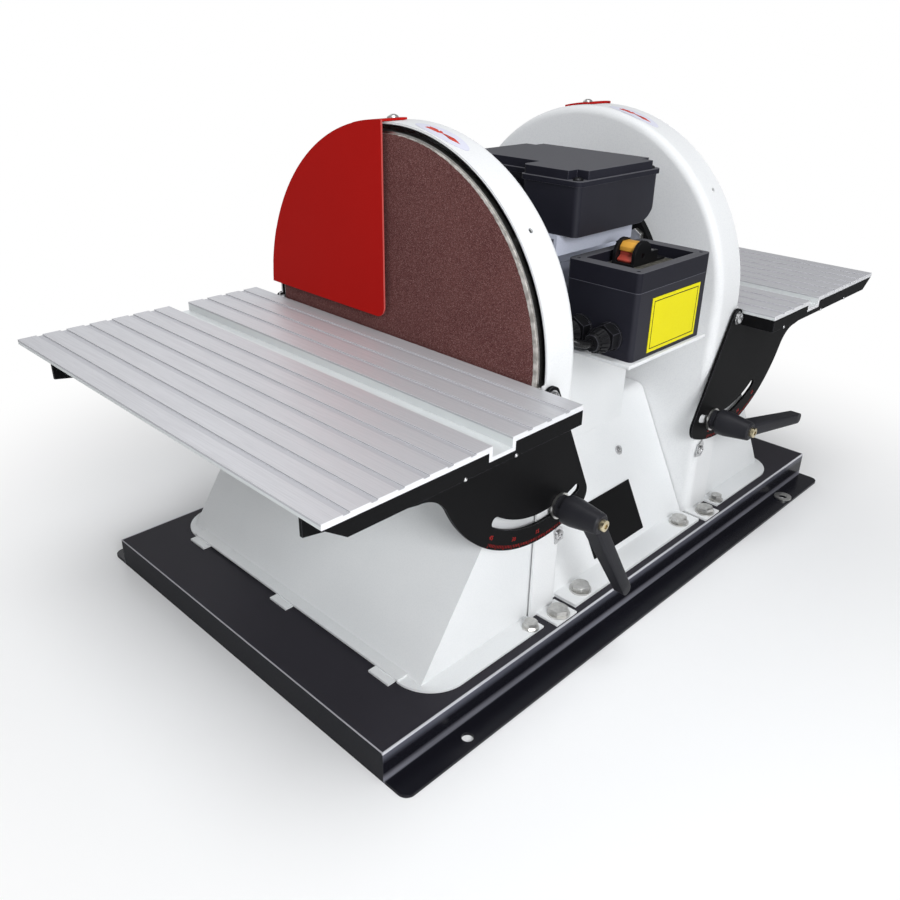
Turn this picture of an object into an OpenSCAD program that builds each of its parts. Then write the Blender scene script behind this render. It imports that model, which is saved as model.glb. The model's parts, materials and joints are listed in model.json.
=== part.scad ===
// Double-ended disc grinder for the bench: two 12 inch abrasive discs on one motor spindle.
// X runs along the spindle, -Y is the front with the switch, +Z is up.
// The origin is the middle of the four bench holes, on the bench.

/* [Base] */
// Length of the base pan along the spindle
base_l = 641; // [600:1:720]
// Width of the base pan from front wall to back wall
base_w = 366; // [362:1:400]
// Height of the base pan
base_h = 27; // [20:1:40]
// Sheet thickness of the base pan
base_t = 2.5; // [1.5:0.1:4]
// Width of the bench flanges along the front and the back
bench_flange_w = 22.5; // [20:0.5:40]
// Corner radius of the bench flanges
bench_flange_r = 8; // [2:0.5:15]
// Spacing of the bench holes along the spindle
bench_hole_dx = 502.4; // [400:0.2:580]
// Distance of the bench holes from the pan wall
bench_hole_out = 13; // [8:0.5:15]
// Diameter of the bench holes
bench_hole_d = 9; // [6:0.5:12]

/* [Spindle] */
// Height of the spindle above the bench
shaft_z = 237; // [230:1:260]
// Diameter of the sanding discs
disc_d = 304.8; // [290:0.1:308]
// Thickness of the disc plate
disc_t = 5.5; // [4:0.5:8]
// Thickness of the abrasive sheet
paper_t = 0.8; // [0.5:0.1:1.5]
// Bare rim of disc left around the abrasive sheet
paper_inset = 1.6; // [0.5:0.1:4]
// Distance between the two abrasive faces
face_span = 281.8; // [278:0.2:300]
// Diameter of the disc hub
hub_d = 52; // [40:1:70]
// Length of the disc hub
hub_l = 26; // [20:1:28]
// Diameter of the shaft ends in the disc hubs
shaft_end_d = 19; // [16:0.5:19.5]
// Diameter of the shaft in the bearings
journal_d = 20; // [20:0.5:24]
// Diameter of the shaft in the rotor
rotor_shaft_d = 26; // [25:0.5:34]

/* [Motor] */
// Diameter of the motor body
motor_d = 148; // [140:1:150]
// Length of the motor body
motor_l = 168; // [150:1:172]
// Wall of the motor body
motor_wall = 8; // [5:0.5:12]
// Diameter of the motor end bells
bell_d = 160; // [150:1:166]
// Diameter of the end bell flanges
bell_flange_d = 196; // [190:1:220]
// Thickness of the end bell flanges
bell_flange_t = 7; // [5:0.5:9]
// Outer diameter of the ball bearings
bearing_od = 47; // [42:0.5:56]
// Width of the ball bearings
bearing_w = 14; // [10:0.5:15]
// Length of the stator and rotor iron
stack_l = 90; // [70:1:100]
// Diameter of the rotor
rotor_d = 83; // [70:0.5:90]
// Circle radius of the bolts that hold the motor to the housings
flange_bolt_r = 88; // [88:0.5:90]
// Angle of those bolts above and below the level of the spindle
flange_bolt_deg = 36; // [25:1:60]

/* [Housings] */
// Radial gap between a disc and its housing rim
rim_gap = 4.8; // [4:0.1:7]
// Sheet thickness of the housings
housing_t = 1.8; // [1.2:0.1:2.5]
// Depth of the housings along the spindle
housing_depth = 35.5; // [34:0.5:38]
// Distance of the housing front edge behind the abrasive face
rim_setback = 1.4; // [0.5:0.1:3]
// Bend radius between rim and back plate
housing_bend_r = 8; // [4:0.5:15]
// Radius of the spindle hole in the back plate
back_hole_r = 30; // [20:1:40]
// Width of the bolt tabs along the spindle
housing_tab_w = 26; // [20:1:27]
// Length of the bolt tabs across the spindle
housing_tab_l = 22; // [18:1:22]

/* [Shrouds] */
// Reach of the shroud foot in front of the housing
shroud_foot = 120.5; // [100:0.5:130]
// Reach of the shroud top in front of the housing
shroud_top = 12.5; // [8:0.5:20]
// Height of the shroud above the base
shroud_h = 162; // [120:1:165]
// Sheet thickness of the shrouds
shroud_t = 1.8; // [1.2:0.1:2.5]
// Gap between the shroud side and the housing wall
shroud_side_gap = 1.9; // [1:0.1:4]
// Length that the shroud reaches into the housing
shroud_lap = 9.5; // [4:0.5:12]
// Width of the shroud side flanges
shroud_flange_w = 18.7; // [16:0.1:22]
// Width of the lip along the foot of the leaning front
shroud_lip = 8; // [5:0.5:10]
// Gap between that lip and the base
shroud_gap = 1.5; // [0.5:0.1:1.6]
// Width of the toes under the lip
shroud_toe_w = 22; // [20:1:40]
// Reach of the toes in front of the lip
shroud_toe = 7; // [4:0.5:12]

/* [Guards] */
// Sheet thickness of the guards
guard_t = 1.6; // [1:0.1:2.5]
// Gap between the abrasive face and the guard
guard_gap = 4.1; // [2:0.1:8]
// Height of the guard's lower edge above the spindle
guard_low = 8; // [6:0.5:30]
// Distance of the guard's upright edge behind the spindle
guard_side = 6; // [0:0.5:20]
// Corner radius of the guard
guard_r = 9; // [4:0.5:15]

/* [Tables] */
// Width of the tables across the spindle
table_w = 390; // [380:1:410]
// Length of the tables along the spindle
table_l = 225; // [200:1:240]
// Thickness of the table plate
table_t = 4; // [3:0.1:5]
// Gap between the abrasive face and the table
table_gap = 2.7; // [1.5:0.1:4]
// Height of the spindle above the table top
table_drop = 6; // [4:0.5:12]
// Width of the grooves in the table top
groove_w = 5; // [2:0.5:7]
// Depth of the grooves in the table top
groove_d = 1; // [0.4:0.1:1.5]
// Lands between the miter slot and the disc
inner_lands = 4; // [2:1:6]
// Lands outside the miter slot
outer_lands = 7; // [4:1:9]
// Width of the miter slot
miter_w = 19; // [15:0.1:21]
// Depth of the miter slot
miter_d = 7.5; // [5:0.1:8]
// Wall of the miter channel
miter_wall = 3; // [2:0.1:4]
// Distance of the miter slot from the table's inner edge
miter_off = 73.4; // [60:0.1:90]

/* [Table brackets] */
// Sheet thickness of the brackets
bracket_t = 2.6; // [2:0.1:3]
// Gap between the housing wall and a bracket
bracket_gap = 1.6; // [0.6:0.1:2]
// Length of the bracket shelf across the spindle
shelf_l = 34.4; // [28:0.1:40]
// Depth of the bracket shelf below the table top
shelf_drop = 12.4; // [12:0.1:18]
// Distance of the tilt pivot inside the table's inner edge
pivot_in = 7.1; // [6.8:0.1:9]
// Depth of the tilt pivot below the table top
pivot_drop = 7; // [5.5:0.1:8]
// Radius of the tilt quadrant about the pivot
quadrant_r = 118; // [114:0.5:122]
// Radius of the tilt slot about the pivot
tilt_slot_r = 97.8; // [92:0.1:100]
// Outward end of the tilt slot, from straight down
tilt_slot_out_deg = 35; // [34.5:0.5:42]
// Inward end of the tilt slot, from straight down
tilt_slot_in_deg = 24; // [18:0.5:25]
// Place of the lock stud, inward from straight down
stud_deg = 11; // [9:0.5:14]
// Lean of the quadrant's inner edge
quadrant_edge_deg = 26; // [24:0.5:30]
// Depth of the bracket web below the pivot
web_drop = 35; // [28:0.5:42]
// Depth of the bracket web at its outer end
web_end_drop = 20; // [15:0.5:26]
// Length of the bracket web from the pivot
web_l = 222; // [180:1:226]
// Radius of the hollow between quadrant and web
flare_r = 30; // [20:0.5:36]

/* [Clamp levers] */
// Diameter of the lever hub
lever_hub_d = 24; // [22:0.5:26]
// Diameter of the hub's outer end
lever_end_d = 17.5; // [16:0.5:20]
// Length of the lever hub
lever_hub_l = 38.5; // [36:0.5:44]
// Length of the lever arm from its axis to its tip
lever_l = 70; // [60:1:80]
// Rest angle of the left lever from straight down
left_lever_deg = 19; // [-60:1:90]
// Rest angle of the right lever from straight down
right_lever_deg = 89; // [-60:1:90]
// Diameter of the lock studs
stud_d = 7.8; // [6:0.1:8]

/* [Pedestal] */
// Half depth of the pedestal at its foot
pedestal_foot = 154; // [145:0.5:158]
// Half depth of the pedestal at its top
pedestal_top = 91.7; // [80:0.1:95]
// Height of the pedestal top above the bench
pedestal_z = 148; // [135:1:152]
// Sheet thickness of the pedestal
pedestal_t = 3; // [2:0.1:4]
// Gap between the pedestal and the housing back plates
pedestal_gap = 1; // [0.5:0.1:3]
// Bend radius along the pedestal's top edges
pedestal_r = 10; // [5:0.5:15]
// Width of the pedestal flanges
pedestal_flange_w = 22; // [18:0.5:26]

/* [Switch] */
// Width of the switch box along the spindle
switch_w = 102; // [90:1:110]
// Depth of the switch box
switch_l = 67; // [60:1:72]
// Height of the switch box with its lid
switch_h = 70; // [62:1:80]
// Height of the switch box lid
switch_lid_h = 15.5; // [13:0.5:20]
// Wall of the switch box
switch_wall = 2.5; // [2:0.1:4]
// Height of the bracket shelf under the switch box
switch_z = 230; // [226:1:240]
// Front of the switch box, from the spindle
switch_front = 171; // [168:0.5:176]
// Thickness of the switch bracket
switch_bracket_t = 3; // [2:0.1:4]
// Edge of the bracket shelf that shows around the box
switch_bracket_rim = 6; // [2:0.5:7]
// Front of the bracket leg, from the spindle
switch_leg_y = 101; // [98:0.5:103]

/* [Top box] */
// Width of the top box along the spindle
top_box_w = 109; // [100:1:120]
// Length of the top box across the spindle
top_box_l = 134; // [110:1:140]
// Height of the top box under its lid
top_box_h = 38; // [32:0.5:45]
// Height of the top box lid
top_lid_h = 11; // [8:0.5:15]
// Wall of the top box
top_box_wall = 2.5; // [2:0.1:4]
// Front of the top box, from the spindle
top_box_front = 112; // [108:0.5:118]
// Set-in of the narrow back part of the top box
top_box_step = 22; // [12:0.5:30]
// Length of the wide front part of the top box
top_box_wide_l = 56; // [50:0.5:64]
// Rounding under the top box
top_box_r = 22; // [8:0.5:24]

/* [Fasteners] */
// Diameter of the base bolts
bolt_d = 8; // [6:0.5:8]
// Width across the flats of the base bolt heads
bolt_af = 14; // [12:0.5:15]
// Height of the base bolt heads
bolt_head_h = 6; // [4:0.5:7]
// Diameter of the pivot bolts
pivot_d = 6; // [5:0.1:6]
// Width across the flats of the pivot bolt nuts
pivot_af = 10; // [9:0.5:10]
// Diameter of the small screws
screw_d = 5; // [4:0.1:5]
// Diameter of the small screw heads
screw_head_d = 9; // [8:0.1:9.5]

/* [Hidden] */
$fn = 96;

// Colours that several pieces share
white_paint = [0.9, 0.91, 0.91];
black_paint = [0.09, 0.09, 0.1];
black_plastic = [0.1, 0.1, 0.11];
red_paint = [0.62, 0.09, 0.08];
bolt_zinc = [0.66, 0.66, 0.66];
bare_metal = [0.74, 0.74, 0.72];
table_metal = [0.76, 0.76, 0.77];
grit_brown = [0.35, 0.2, 0.19];

// Clearances that the pieces share
cut = 1;
bolt_clear = 0.2;
seat_clear = 0.05;
run_clear = 0.06;
body_clear = 0.3;
bearing_clear = 0.04;

// Base and its fasteners
pan_x = base_l / 2;
pan_y = base_w / 2;
bench_x = bench_hole_dx / 2;
bench_y = pan_y + bench_hole_out;
bolt_r = bolt_d / 2;
nut_h = 6.5;
bolt_tail = 2;
bench_washer_d = 18;
bench_washer_t = 1.6;

// Spindle
disc_r = disc_d / 2;
face_x = face_span / 2;
disc_front_x = face_x - paper_t;
disc_back_x = disc_front_x - disc_t;
hub_x = disc_back_x - hub_l;
hub_bore_depth = 3;
shaft_end_gap = 0.5;
set_screw_d = 6;
set_screw_sink = 2;
set_screw_off = 7;

// Housings
housing_front_x = face_x - rim_setback;
housing_back_x = housing_front_x - housing_depth;
housing_in_r = disc_r + rim_gap;
housing_out_r = housing_in_r + housing_t;
housing_tab_in = 1;
housing_tab_x = housing_back_x + housing_tab_in + housing_tab_w / 2;
housing_bolt_y = housing_out_r + bolt_af / 2 + bolt_head_h;
rim_hole_d = 4;
rim_hole_deg = 38;
rim_hole_off = 14;
rim_hole_x = housing_front_x - rim_hole_off;

// Motor
motor_r = motor_d / 2;
motor_in_r = motor_r - motor_wall;
bell_r = bell_d / 2;
bell_flange_r = bell_flange_d / 2;
bell_lip = 3;
flange_lug_r = 9.5;
bell_hub_wall = 8;
bell_web = 4;
bearing_x = housing_back_x - bell_lip - bearing_w;
winding_l = 24;
winding_t = 19;
air_gap = 0.5;
fin_count = 30;
fin_w = 3;
fin_h = 2;
foot_x = 60;
foot_y = 46;
foot_bolt_x = 45;
foot_bolt_y = 36;
foot_flange_h = 6;
foot_block_y = 26;

// Tables and brackets, with u outward and w up from the pivot
table_in_x = face_x + table_gap;
table_out_x = table_in_x + table_l;
table_top = shaft_z - table_drop;
table_under = table_top - table_t;
miter_x = table_in_x + miter_off;
pivot_x = table_in_x - pivot_in;
pivot_z = table_top - pivot_drop;
bracket_in_y = housing_out_r + bracket_gap;
bracket_out_y = bracket_in_y + bracket_t;
band_out_y = bracket_in_y + shelf_l;
band_in_y = band_out_y - bracket_t;
band_end = 1;
band_cut = 16;
shelf_top = table_top - shelf_drop;
shelf_under = shelf_top - bracket_t;
shelf_w = shelf_top - pivot_z;
rib_w = 14;
rib_inset = 36;
rib_outset = 44;
rib_xs = [table_in_x + rib_inset, table_out_x - rib_outset];
table_screw_y = (bracket_out_y + band_in_y) / 2;
table_screw_grip = 7;
ear_r = 8.5;
nose_r = 13;
slot_clear = 0.6;
tilt_slot_w = stud_d + slot_clear;
lug_back = 10;
lug_front = 6;
lug_low = 7;
lug_high = 9;
weld_nut_t = 4;
stud_nut_af = 12;
pivot_head_h = 4.2;
pivot_head_d = 10;
pivot_dome_r = 7;
pivot_washer_d = 12;
pivot_washer_t = 1.2;

// Clamp levers
stud_r = stud_d / 2;
stud_x = pivot_x - tilt_slot_r * sin(stud_deg);
stud_z = pivot_z - tilt_slot_r * cos(stud_deg);
washer_r = 11;
washer_t = 1.6;
washer_y = bracket_out_y + body_clear;
lever_y = washer_y + washer_t + body_clear;
lever_end = 12;
lever_bore_l = lever_hub_l - lever_end;
lever_stud_gap = 3;
lever_screw_h = 4;
lever_screw_l = 6;
lever_collar_d = 19;
lever_collar_l = 5;
lever_step = 1.5;
lever_barrel_l = 14;
lever_root_r = 6.5;
lever_root_t = 13;
lever_root_y = 28.5;
lever_tip_r = 5;
lever_tip_t = 9.5;
lever_tip_y = 49.8;
pointer_t = 1.2;
pointer_w = 10;
pointer_l = 18;
pointer_head = 6;
pointer_deg = 11.5;
pointer_screw_off = 12;
pointer_gap = 1;

// Guards
guard_back_x = face_x + guard_gap;
guard_front_x = guard_back_x + guard_t;
guard_tab_l = 28;
guard_tab_in_r = housing_out_r + body_clear;
guard_tab_out_r = guard_tab_in_r + guard_t;
guard_rad = guard_tab_out_r - bolt_clear;
guard_top_deg = [2.6, 14];
guard_side_deg = [69, 81];
guard_screw_in = 22;
guard_screw_x = guard_front_x - guard_screw_in;
guard_screw_degs = [6, 75];
screw_dome_d = 10;
screw_dome_low = 2.2;

// Shrouds
shroud_y = housing_in_r - shroud_side_gap;
shroud_foot_x = housing_front_x + shroud_foot;
shroud_top_x = housing_front_x + shroud_top;
shroud_back_x = housing_front_x - shroud_lap;
shroud_z = base_h + shroud_h;
shroud_lean = (shroud_foot_x - shroud_top_x) / shroud_h;
shroud_skin = shroud_t * sqrt(1 + shroud_lean * shroud_lean);
shroud_lip_x = shroud_foot_x + shroud_lip;
shroud_bolt_off = 9;
shroud_bolt_in = 6.5;
shroud_bolt_x = housing_front_x + shroud_bolt_off;
shroud_edge_y = shroud_y + shroud_flange_w;
shroud_bolt_y = shroud_edge_y - shroud_bolt_in;
shroud_toe_in = 29;
shroud_round = 34;

// Pedestal
pedestal_x = housing_back_x - pedestal_gap;
pedestal_flange_in = 3;
pedestal_bolt_in = 23.4;
pedestal_bolt_out = 11.4;
pedestal_bolt_x = pedestal_x - pedestal_bolt_in;
pedestal_bolt_y = pedestal_foot + pedestal_bolt_out;
pedestal_lean = (pedestal_foot - pedestal_top) / (pedestal_z - base_h);
pedestal_lean_deg = atan(pedestal_lean);
rating_w = 78;
rating_l = 49;
rating_s = 8.5;
rating_t = 0.8;
pedestal_screw_x = 38;
pedestal_screw_s = 87;
small_head_d = 8;
small_head_h = 2.5;
small_screw_d = 4;
small_screw_l = 6;

// Switch
switch_back = switch_front - switch_l;
switch_x = switch_w / 2;
switch_top = switch_z + switch_h;
switch_seam = switch_top - switch_lid_h;
switch_corner_r = 4;
recess_w = 80;
recess_l = 50;
recess_d = 9;
recess_floor = switch_top - recess_d;
lid_screw_in = 6;
lid_screw_d = 3.5;
lid_screw_sink = 3;
toggle_x = 13;
toggle_back = 10;
toggle_y = toggle_back - (switch_front + switch_back) / 2;
toggle_w = 46;
toggle_l = 21;
toggle_base_t = 2;
cheek_t = 3;
cheek_r = 12;
cheek_h = 5.5;
cheek_x = 2.5;
cheek_tail_h = 7.5;
cheek_tail_l = 10;
rocker_r = 11;
rocker_gap = 0.4;
rocker_flat = 2.2;
rocker_flat_deg = 32;
rocker_pin_d = 4;
rocker_z = recess_floor + toggle_base_t + cheek_h;
toggle_body_w = 42;
toggle_body_l = 15;
toggle_body_h = 22;
toggle_screw_d = 4;
toggle_screw_head_d = 6;
toggle_screw_x = 31;
label_w = 70;
label_h = 44;
label_x = 5;
label_up = 25.5;
label_z = switch_z + label_up;
label_t = 0.4;
gland_in = 21;
gland_pitch = 28;
gland_ys = [gland_in - switch_front, gland_in + gland_pitch - switch_front];
gland_up = 17;
gland_z = switch_z + gland_up;
gland_flange_d = 23;
gland_flange_l = 2;
gland_af = 20;
gland_hex_l = 9;
gland_neck_d = 15;
gland_neck_l = 3;
gland_dome_d = 20;
gland_dome_l = 11;
gland_tip_d = 13;
gland_l = gland_flange_l + gland_hex_l + gland_neck_l + gland_dome_l;
gland_tail_l = 7;
gland_tail_d = 16;

// Top box
top_box_off = -0.5;
top_box_x0 = top_box_off - top_box_w / 2;
top_box_x1 = top_box_off + top_box_w / 2;
top_box_y0 = -top_box_front;
top_box_y1 = top_box_l - top_box_front;
top_plate_t = 3;
top_plate_z = shaft_z + motor_r + fin_h + body_clear;
top_box_z = top_plate_z + top_plate_t;
top_seam = top_box_z + top_box_h;
top_lid_rim_h = 4;
top_lid_over = 1.5;
top_notch = 11;
top_corner_r = 5;
top_plate_over = 3;
top_plate_in = 8;
top_plate_front_in = 15;
top_plate_back_in = 7;
top_plate_x0 = top_box_x0 - top_plate_over;
top_plate_x1 = top_box_x1 - top_plate_in;
top_plate_front = top_box_front - top_plate_front_in;
top_plate_back = top_box_y1 - top_plate_back_in;
top_lip_h = 13;
top_saddle_x = 30;
top_saddle_y = 22;
top_saddle_h = 10;
top_step_x = top_box_x0 + top_box_step;
lead_gland_in = 52;
lead_gland_y = top_box_y1 - lead_gland_in;
lead_gland_up = 21.7;
lead_gland_z = top_box_z + lead_gland_up;
capacitor_d = 30;
capacitor_l = 70;

// Motor lead from the switch box to the top box
lead_d = 6;
lead_sides = 12;
lead_steps = 3;
lead_in = 10;
lead_out = 2;
lead_side = [0, 0.86, -0.5];
lead_start_x = -switch_x - gland_l;
lead_end_x = top_step_x - gland_l;
lead_route = [[lead_start_x + lead_in, gland_ys[0], gland_z], [lead_start_x, gland_ys[0], gland_z],
  [-84, -149, 248], [-91, -144, 251], [-95, -135, 258], [-97, -125, 270], [-97, -115, 285],
  [-97, -104, 300], [-96, -91, 314], [-93, -77, 325], [-88, -62, 333], [-82, -47, 337],
  [-76, -36, 338], [-68, -31, 338], [lead_end_x - lead_out, lead_gland_y, lead_gland_z],
  [lead_end_x + lead_in, lead_gland_y, lead_gland_z]];

// Shapes that several pieces share

// A solid box between two corners
module block(low, high) {
  translate(low)
    cube(high - low);
}

// A round bar along X
module x_bar(r, x0, x1) {
  translate([x0, 0, 0])
    rotate([0, 90, 0])
      cylinder(r = r, h = x1 - x0);
}

// A round bar along Y
module y_bar(r, y0, y1) {
  translate([0, y0, 0])
    rotate([-90, 0, 0])
      cylinder(r = r, h = y1 - y0);
}

// An outline in X and Z, made solid along Y
module xz_slab(y0, y1) {
  translate([0, y1, 0])
    rotate([90, 0, 0])
      linear_extrude(y1 - y0)
        children();
}

// An outline in Y and Z, made solid along X
module yz_slab(x0, x1) {
  translate([x0, 0, 0])
    rotate([90, 0, 90])
      linear_extrude(x1 - x0)
        children();
}

// A flat rectangle between two corners
module rect(low, high) {
  translate(low)
    square(high - low);
}

// A flat rectangle with round corners
module round_rect(low, high, r) {
  rect(low + [r, 0], high - [r, 0]);
  rect(low + [0, r], high - [0, r]);
  for (x = [low.x + r, high.x - r], y = [low.y + r, high.y - r])
    translate([x, y])
      circle(r);
}

// A hexagon bar along Z by its width across the flats
module hex_bar(af, h) {
  cylinder(d = af / cos(30), h = h, $fn = 6);
}

// The front copy and the back copy of a piece
module front_and_back() {
  children();
  mirror([0, 1, 0])
    children();
}

// The right copy and the left copy of a piece
module both_sides() {
  children();
  mirror([1, 0, 0])
    children();
}

// All four copies of a piece about the middle
module four_corners() {
  both_sides()
    front_and_back()
      children();
}

// A point at radius r about the pivot, at an angle outward from straight down
function swing(r, deg) = [r * sin(deg), -r * cos(deg)];

// Base pan: a folded tray, open underneath, with a bench flange in front and behind
module base_pan() {
  color([0.13, 0.13, 0.14])
    difference() {
      union() {
        difference() {
          block([-pan_x, -pan_y, 0], [pan_x, pan_y, base_h]);
          block([base_t - pan_x, base_t - pan_y, -cut],
            [pan_x - base_t, pan_y - base_t, base_h - base_t]);
        }
        front_and_back()
          bench_flange();
      }
      four_corners()
        translate([bench_x, -bench_y, -cut])
          cylinder(d = bench_hole_d, h = base_t + cut + cut);
      base_bolt_holes();
    }
}

// One bench flange, with its outer corners rounded
module bench_flange() {
  linear_extrude(base_t) {
    rect([-pan_x, bench_flange_r - pan_y - bench_flange_w], [pan_x, base_t - pan_y]);
    rect([bench_flange_r - pan_x, -pan_y - bench_flange_w],
      [pan_x - bench_flange_r, base_t - pan_y]);
    for (x = [bench_flange_r - pan_x, pan_x - bench_flange_r])
      translate([x, bench_flange_r - pan_y - bench_flange_w])
        circle(bench_flange_r);
  }
}

// Places of the base bolts on one quarter: x, y and the sheet that the head sits on
base_bolt_places = [[pedestal_bolt_x, pedestal_bolt_y, pedestal_t],
  [housing_tab_x, housing_bolt_y, housing_t],
  [shroud_bolt_x, shroud_bolt_y, shroud_t]];

// Holes for the base bolts through the pan top and the flanges on it
module base_bolt_holes() {
  four_corners()
    for (p = base_bolt_places)
      translate([p.x, -p.y, base_h - base_t - cut])
        cylinder(r = bolt_r + bolt_clear, h = base_t + pedestal_t + cut + cut);
}

// Washer left on the right front bench hole
module bench_washer() {
  color([0.62, 0.62, 0.62])
    translate([bench_x, -bench_y, base_t])
      difference() {
        cylinder(d = bench_washer_d, h = bench_washer_t);
        translate([0, 0, -cut])
          cylinder(d = bench_hole_d, h = bench_washer_t + cut + cut);
      }
}

// Nuts of the base bolts, under the pan top
module base_nuts() {
  color(bolt_zinc)
    four_corners()
      for (p = base_bolt_places)
        translate([p.x, -p.y, base_h - base_t - nut_h])
          difference() {
            hex_bar(bolt_af, nut_h);
            translate([0, 0, -cut])
              cylinder(r = bolt_r + seat_clear, h = nut_h + cut + cut);
          }
}

// Hex bolts that hold pedestal, housings and shrouds on the base
module base_bolts() {
  color(bolt_zinc)
    four_corners()
      for (p = base_bolt_places)
        translate([p.x, -p.y, base_h + p.z]) {
          hex_bar(bolt_af, bolt_head_h);
          translate([0, 0, -p.z - base_t - nut_h - bolt_tail])
            cylinder(r = bolt_r, h = p.z + base_t + nut_h + bolt_tail + bolt_head_h / 2);
        }
}

// Pedestal outline in Y and Z with round top edges, drawn in by the sheet for its inside
module pedestal_outline(skin) {
  foot_y = pedestal_foot - skin / cos(pedestal_lean_deg);
  top = pedestal_z - skin;
  r = pedestal_r - skin;
  mid_z = top - r;
  mid_y = foot_y - pedestal_lean * (mid_z - base_h) - r / cos(pedestal_lean_deg);
  edge = [mid_y + r * cos(pedestal_lean_deg), mid_z + r * sin(pedestal_lean_deg)];
  polygon([[-foot_y, base_h], [foot_y, base_h], edge, [mid_y, top], [-mid_y, top], [-edge.x, edge.y]]);
  for (y = [-mid_y, mid_y])
    translate([y, mid_z])
      circle(r);
}

// Pedestal: a folded stand with a leaning front and back, notched round the end bell flanges
module pedestal() {
  flange_x = pedestal_x - pedestal_flange_in;
  notch_x = housing_back_x - bell_flange_t - body_clear;
  color(white_paint)
    difference() {
      union() {
        difference() {
          yz_slab(-pedestal_x, pedestal_x)
            pedestal_outline(0);
          yz_slab(pedestal_t - pedestal_x, pedestal_x - pedestal_t)
            pedestal_outline(pedestal_t);
          block([pedestal_t - pedestal_x, pedestal_t - pedestal_foot, base_h - cut],
            [pedestal_x - pedestal_t, pedestal_foot - pedestal_t, base_h + cut]);
        }
        front_and_back()
          block([-flange_x, -pedestal_foot - pedestal_flange_w, base_h],
            [flange_x, pedestal_t - pedestal_foot, base_h + pedestal_t]);
      }
      base_bolt_holes();
      foot_bolt_holes();
      both_sides()
        translate([0, 0, shaft_z])
          x_bar(bell_flange_r + body_clear, notch_x, pedestal_x + cut);
      pedestal_screw_places()
        translate([0, 0, -small_screw_l])
          cylinder(d = small_screw_d + seat_clear + seat_clear, h = small_screw_l + cut);
    }
}

// Places on the leaning front of the pedestal, with Z square to the sheet
module pedestal_front(x, s) {
  translate([x, s * sin(pedestal_lean_deg) - pedestal_foot, base_h + s * cos(pedestal_lean_deg)])
    rotate([90 - pedestal_lean_deg, 0, 0])
      children();
}

// The two screws on the pedestal front
module pedestal_screw_places() {
  for (x = [-pedestal_screw_x, pedestal_screw_x])
    pedestal_front(x, pedestal_screw_s)
      children();
}

// Small round-head screw along Z, with its head above zero
module pan_head_screw() {
  cylinder(d = small_head_d, h = small_head_h);
  translate([0, 0, -small_screw_l])
    cylinder(d = small_screw_d, h = small_screw_l + small_head_h / 2);
}

// Round-head screws on the pedestal front and through the tilt pointers
module pan_head_screws() {
  color([0.7, 0.7, 0.7]) {
    pedestal_screw_places()
      pan_head_screw();
    both_sides()
      pointer_place()
        translate([0, 0, pointer_t])
          pan_head_screw();
  }
}

// Blank plate on the pedestal front
module rating_plate() {
  color([0.05, 0.05, 0.06])
    pedestal_front(0, rating_s)
      translate([-rating_w / 2, 0, 0])
        cube([rating_w, rating_l, rating_t]);
}

// Holes for the bolts of the motor foot
module foot_bolt_holes() {
  four_corners()
    translate([foot_bolt_x, foot_bolt_y, pedestal_z - pedestal_t - cut])
      cylinder(r = bolt_r + bolt_clear, h = pedestal_t + foot_flange_h + cut + cut);
}

// Cast foot that carries the motor on the pedestal
module motor_foot() {
  color([0.45, 0.46, 0.47])
    difference() {
      union() {
        block([-foot_x, -foot_y, pedestal_z], [foot_x, foot_y, pedestal_z + foot_flange_h]);
        block([-foot_x, -foot_block_y, pedestal_z], [foot_x, foot_block_y, shaft_z - motor_in_r]);
      }
      translate([0, 0, shaft_z])
        x_bar(motor_r + fin_h + seat_clear, -foot_x - cut, foot_x + cut);
      foot_bolt_holes();
    }
}

// Bolts of the motor foot, up through the pedestal top with the nut formed below
module motor_foot_bolts() {
  color(bolt_zinc)
    four_corners()
      translate([foot_bolt_x, foot_bolt_y, pedestal_z + foot_flange_h]) {
        hex_bar(bolt_af, bolt_head_h);
        translate([0, 0, -foot_flange_h - pedestal_t - nut_h])
          cylinder(r = bolt_r, h = foot_flange_h + pedestal_t + nut_h + bolt_head_h / 2);
        translate([0, 0, -foot_flange_h - pedestal_t - nut_h])
          hex_bar(bolt_af, nut_h);
      }
}

// Motor body: a finned tube
module motor_body() {
  color([0.5, 0.51, 0.52])
    translate([0, 0, shaft_z])
      difference() {
        union() {
          x_bar(motor_r, -motor_l / 2, motor_l / 2);
          for (i = [0 : fin_count - 1])
            rotate([(i + 0.5) * 360 / fin_count, 0, 0])
              block([-motor_l / 2, -fin_w / 2, motor_in_r + motor_wall / 2],
                [motor_l / 2, fin_w / 2, motor_r + fin_h]);
        }
        x_bar(motor_in_r, -motor_l / 2 - cut, motor_l / 2 + cut);
      }
}

// Places of the bolts between the end bells and the housings, seen along the spindle
module flange_bolt_places() {
  for (turn = [flange_bolt_deg, 180 - flange_bolt_deg, 180 + flange_bolt_deg, 360 - flange_bolt_deg])
    translate([0, flange_bolt_r * cos(turn), shaft_z + flange_bolt_r * sin(turn)])
      children();
}

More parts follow.
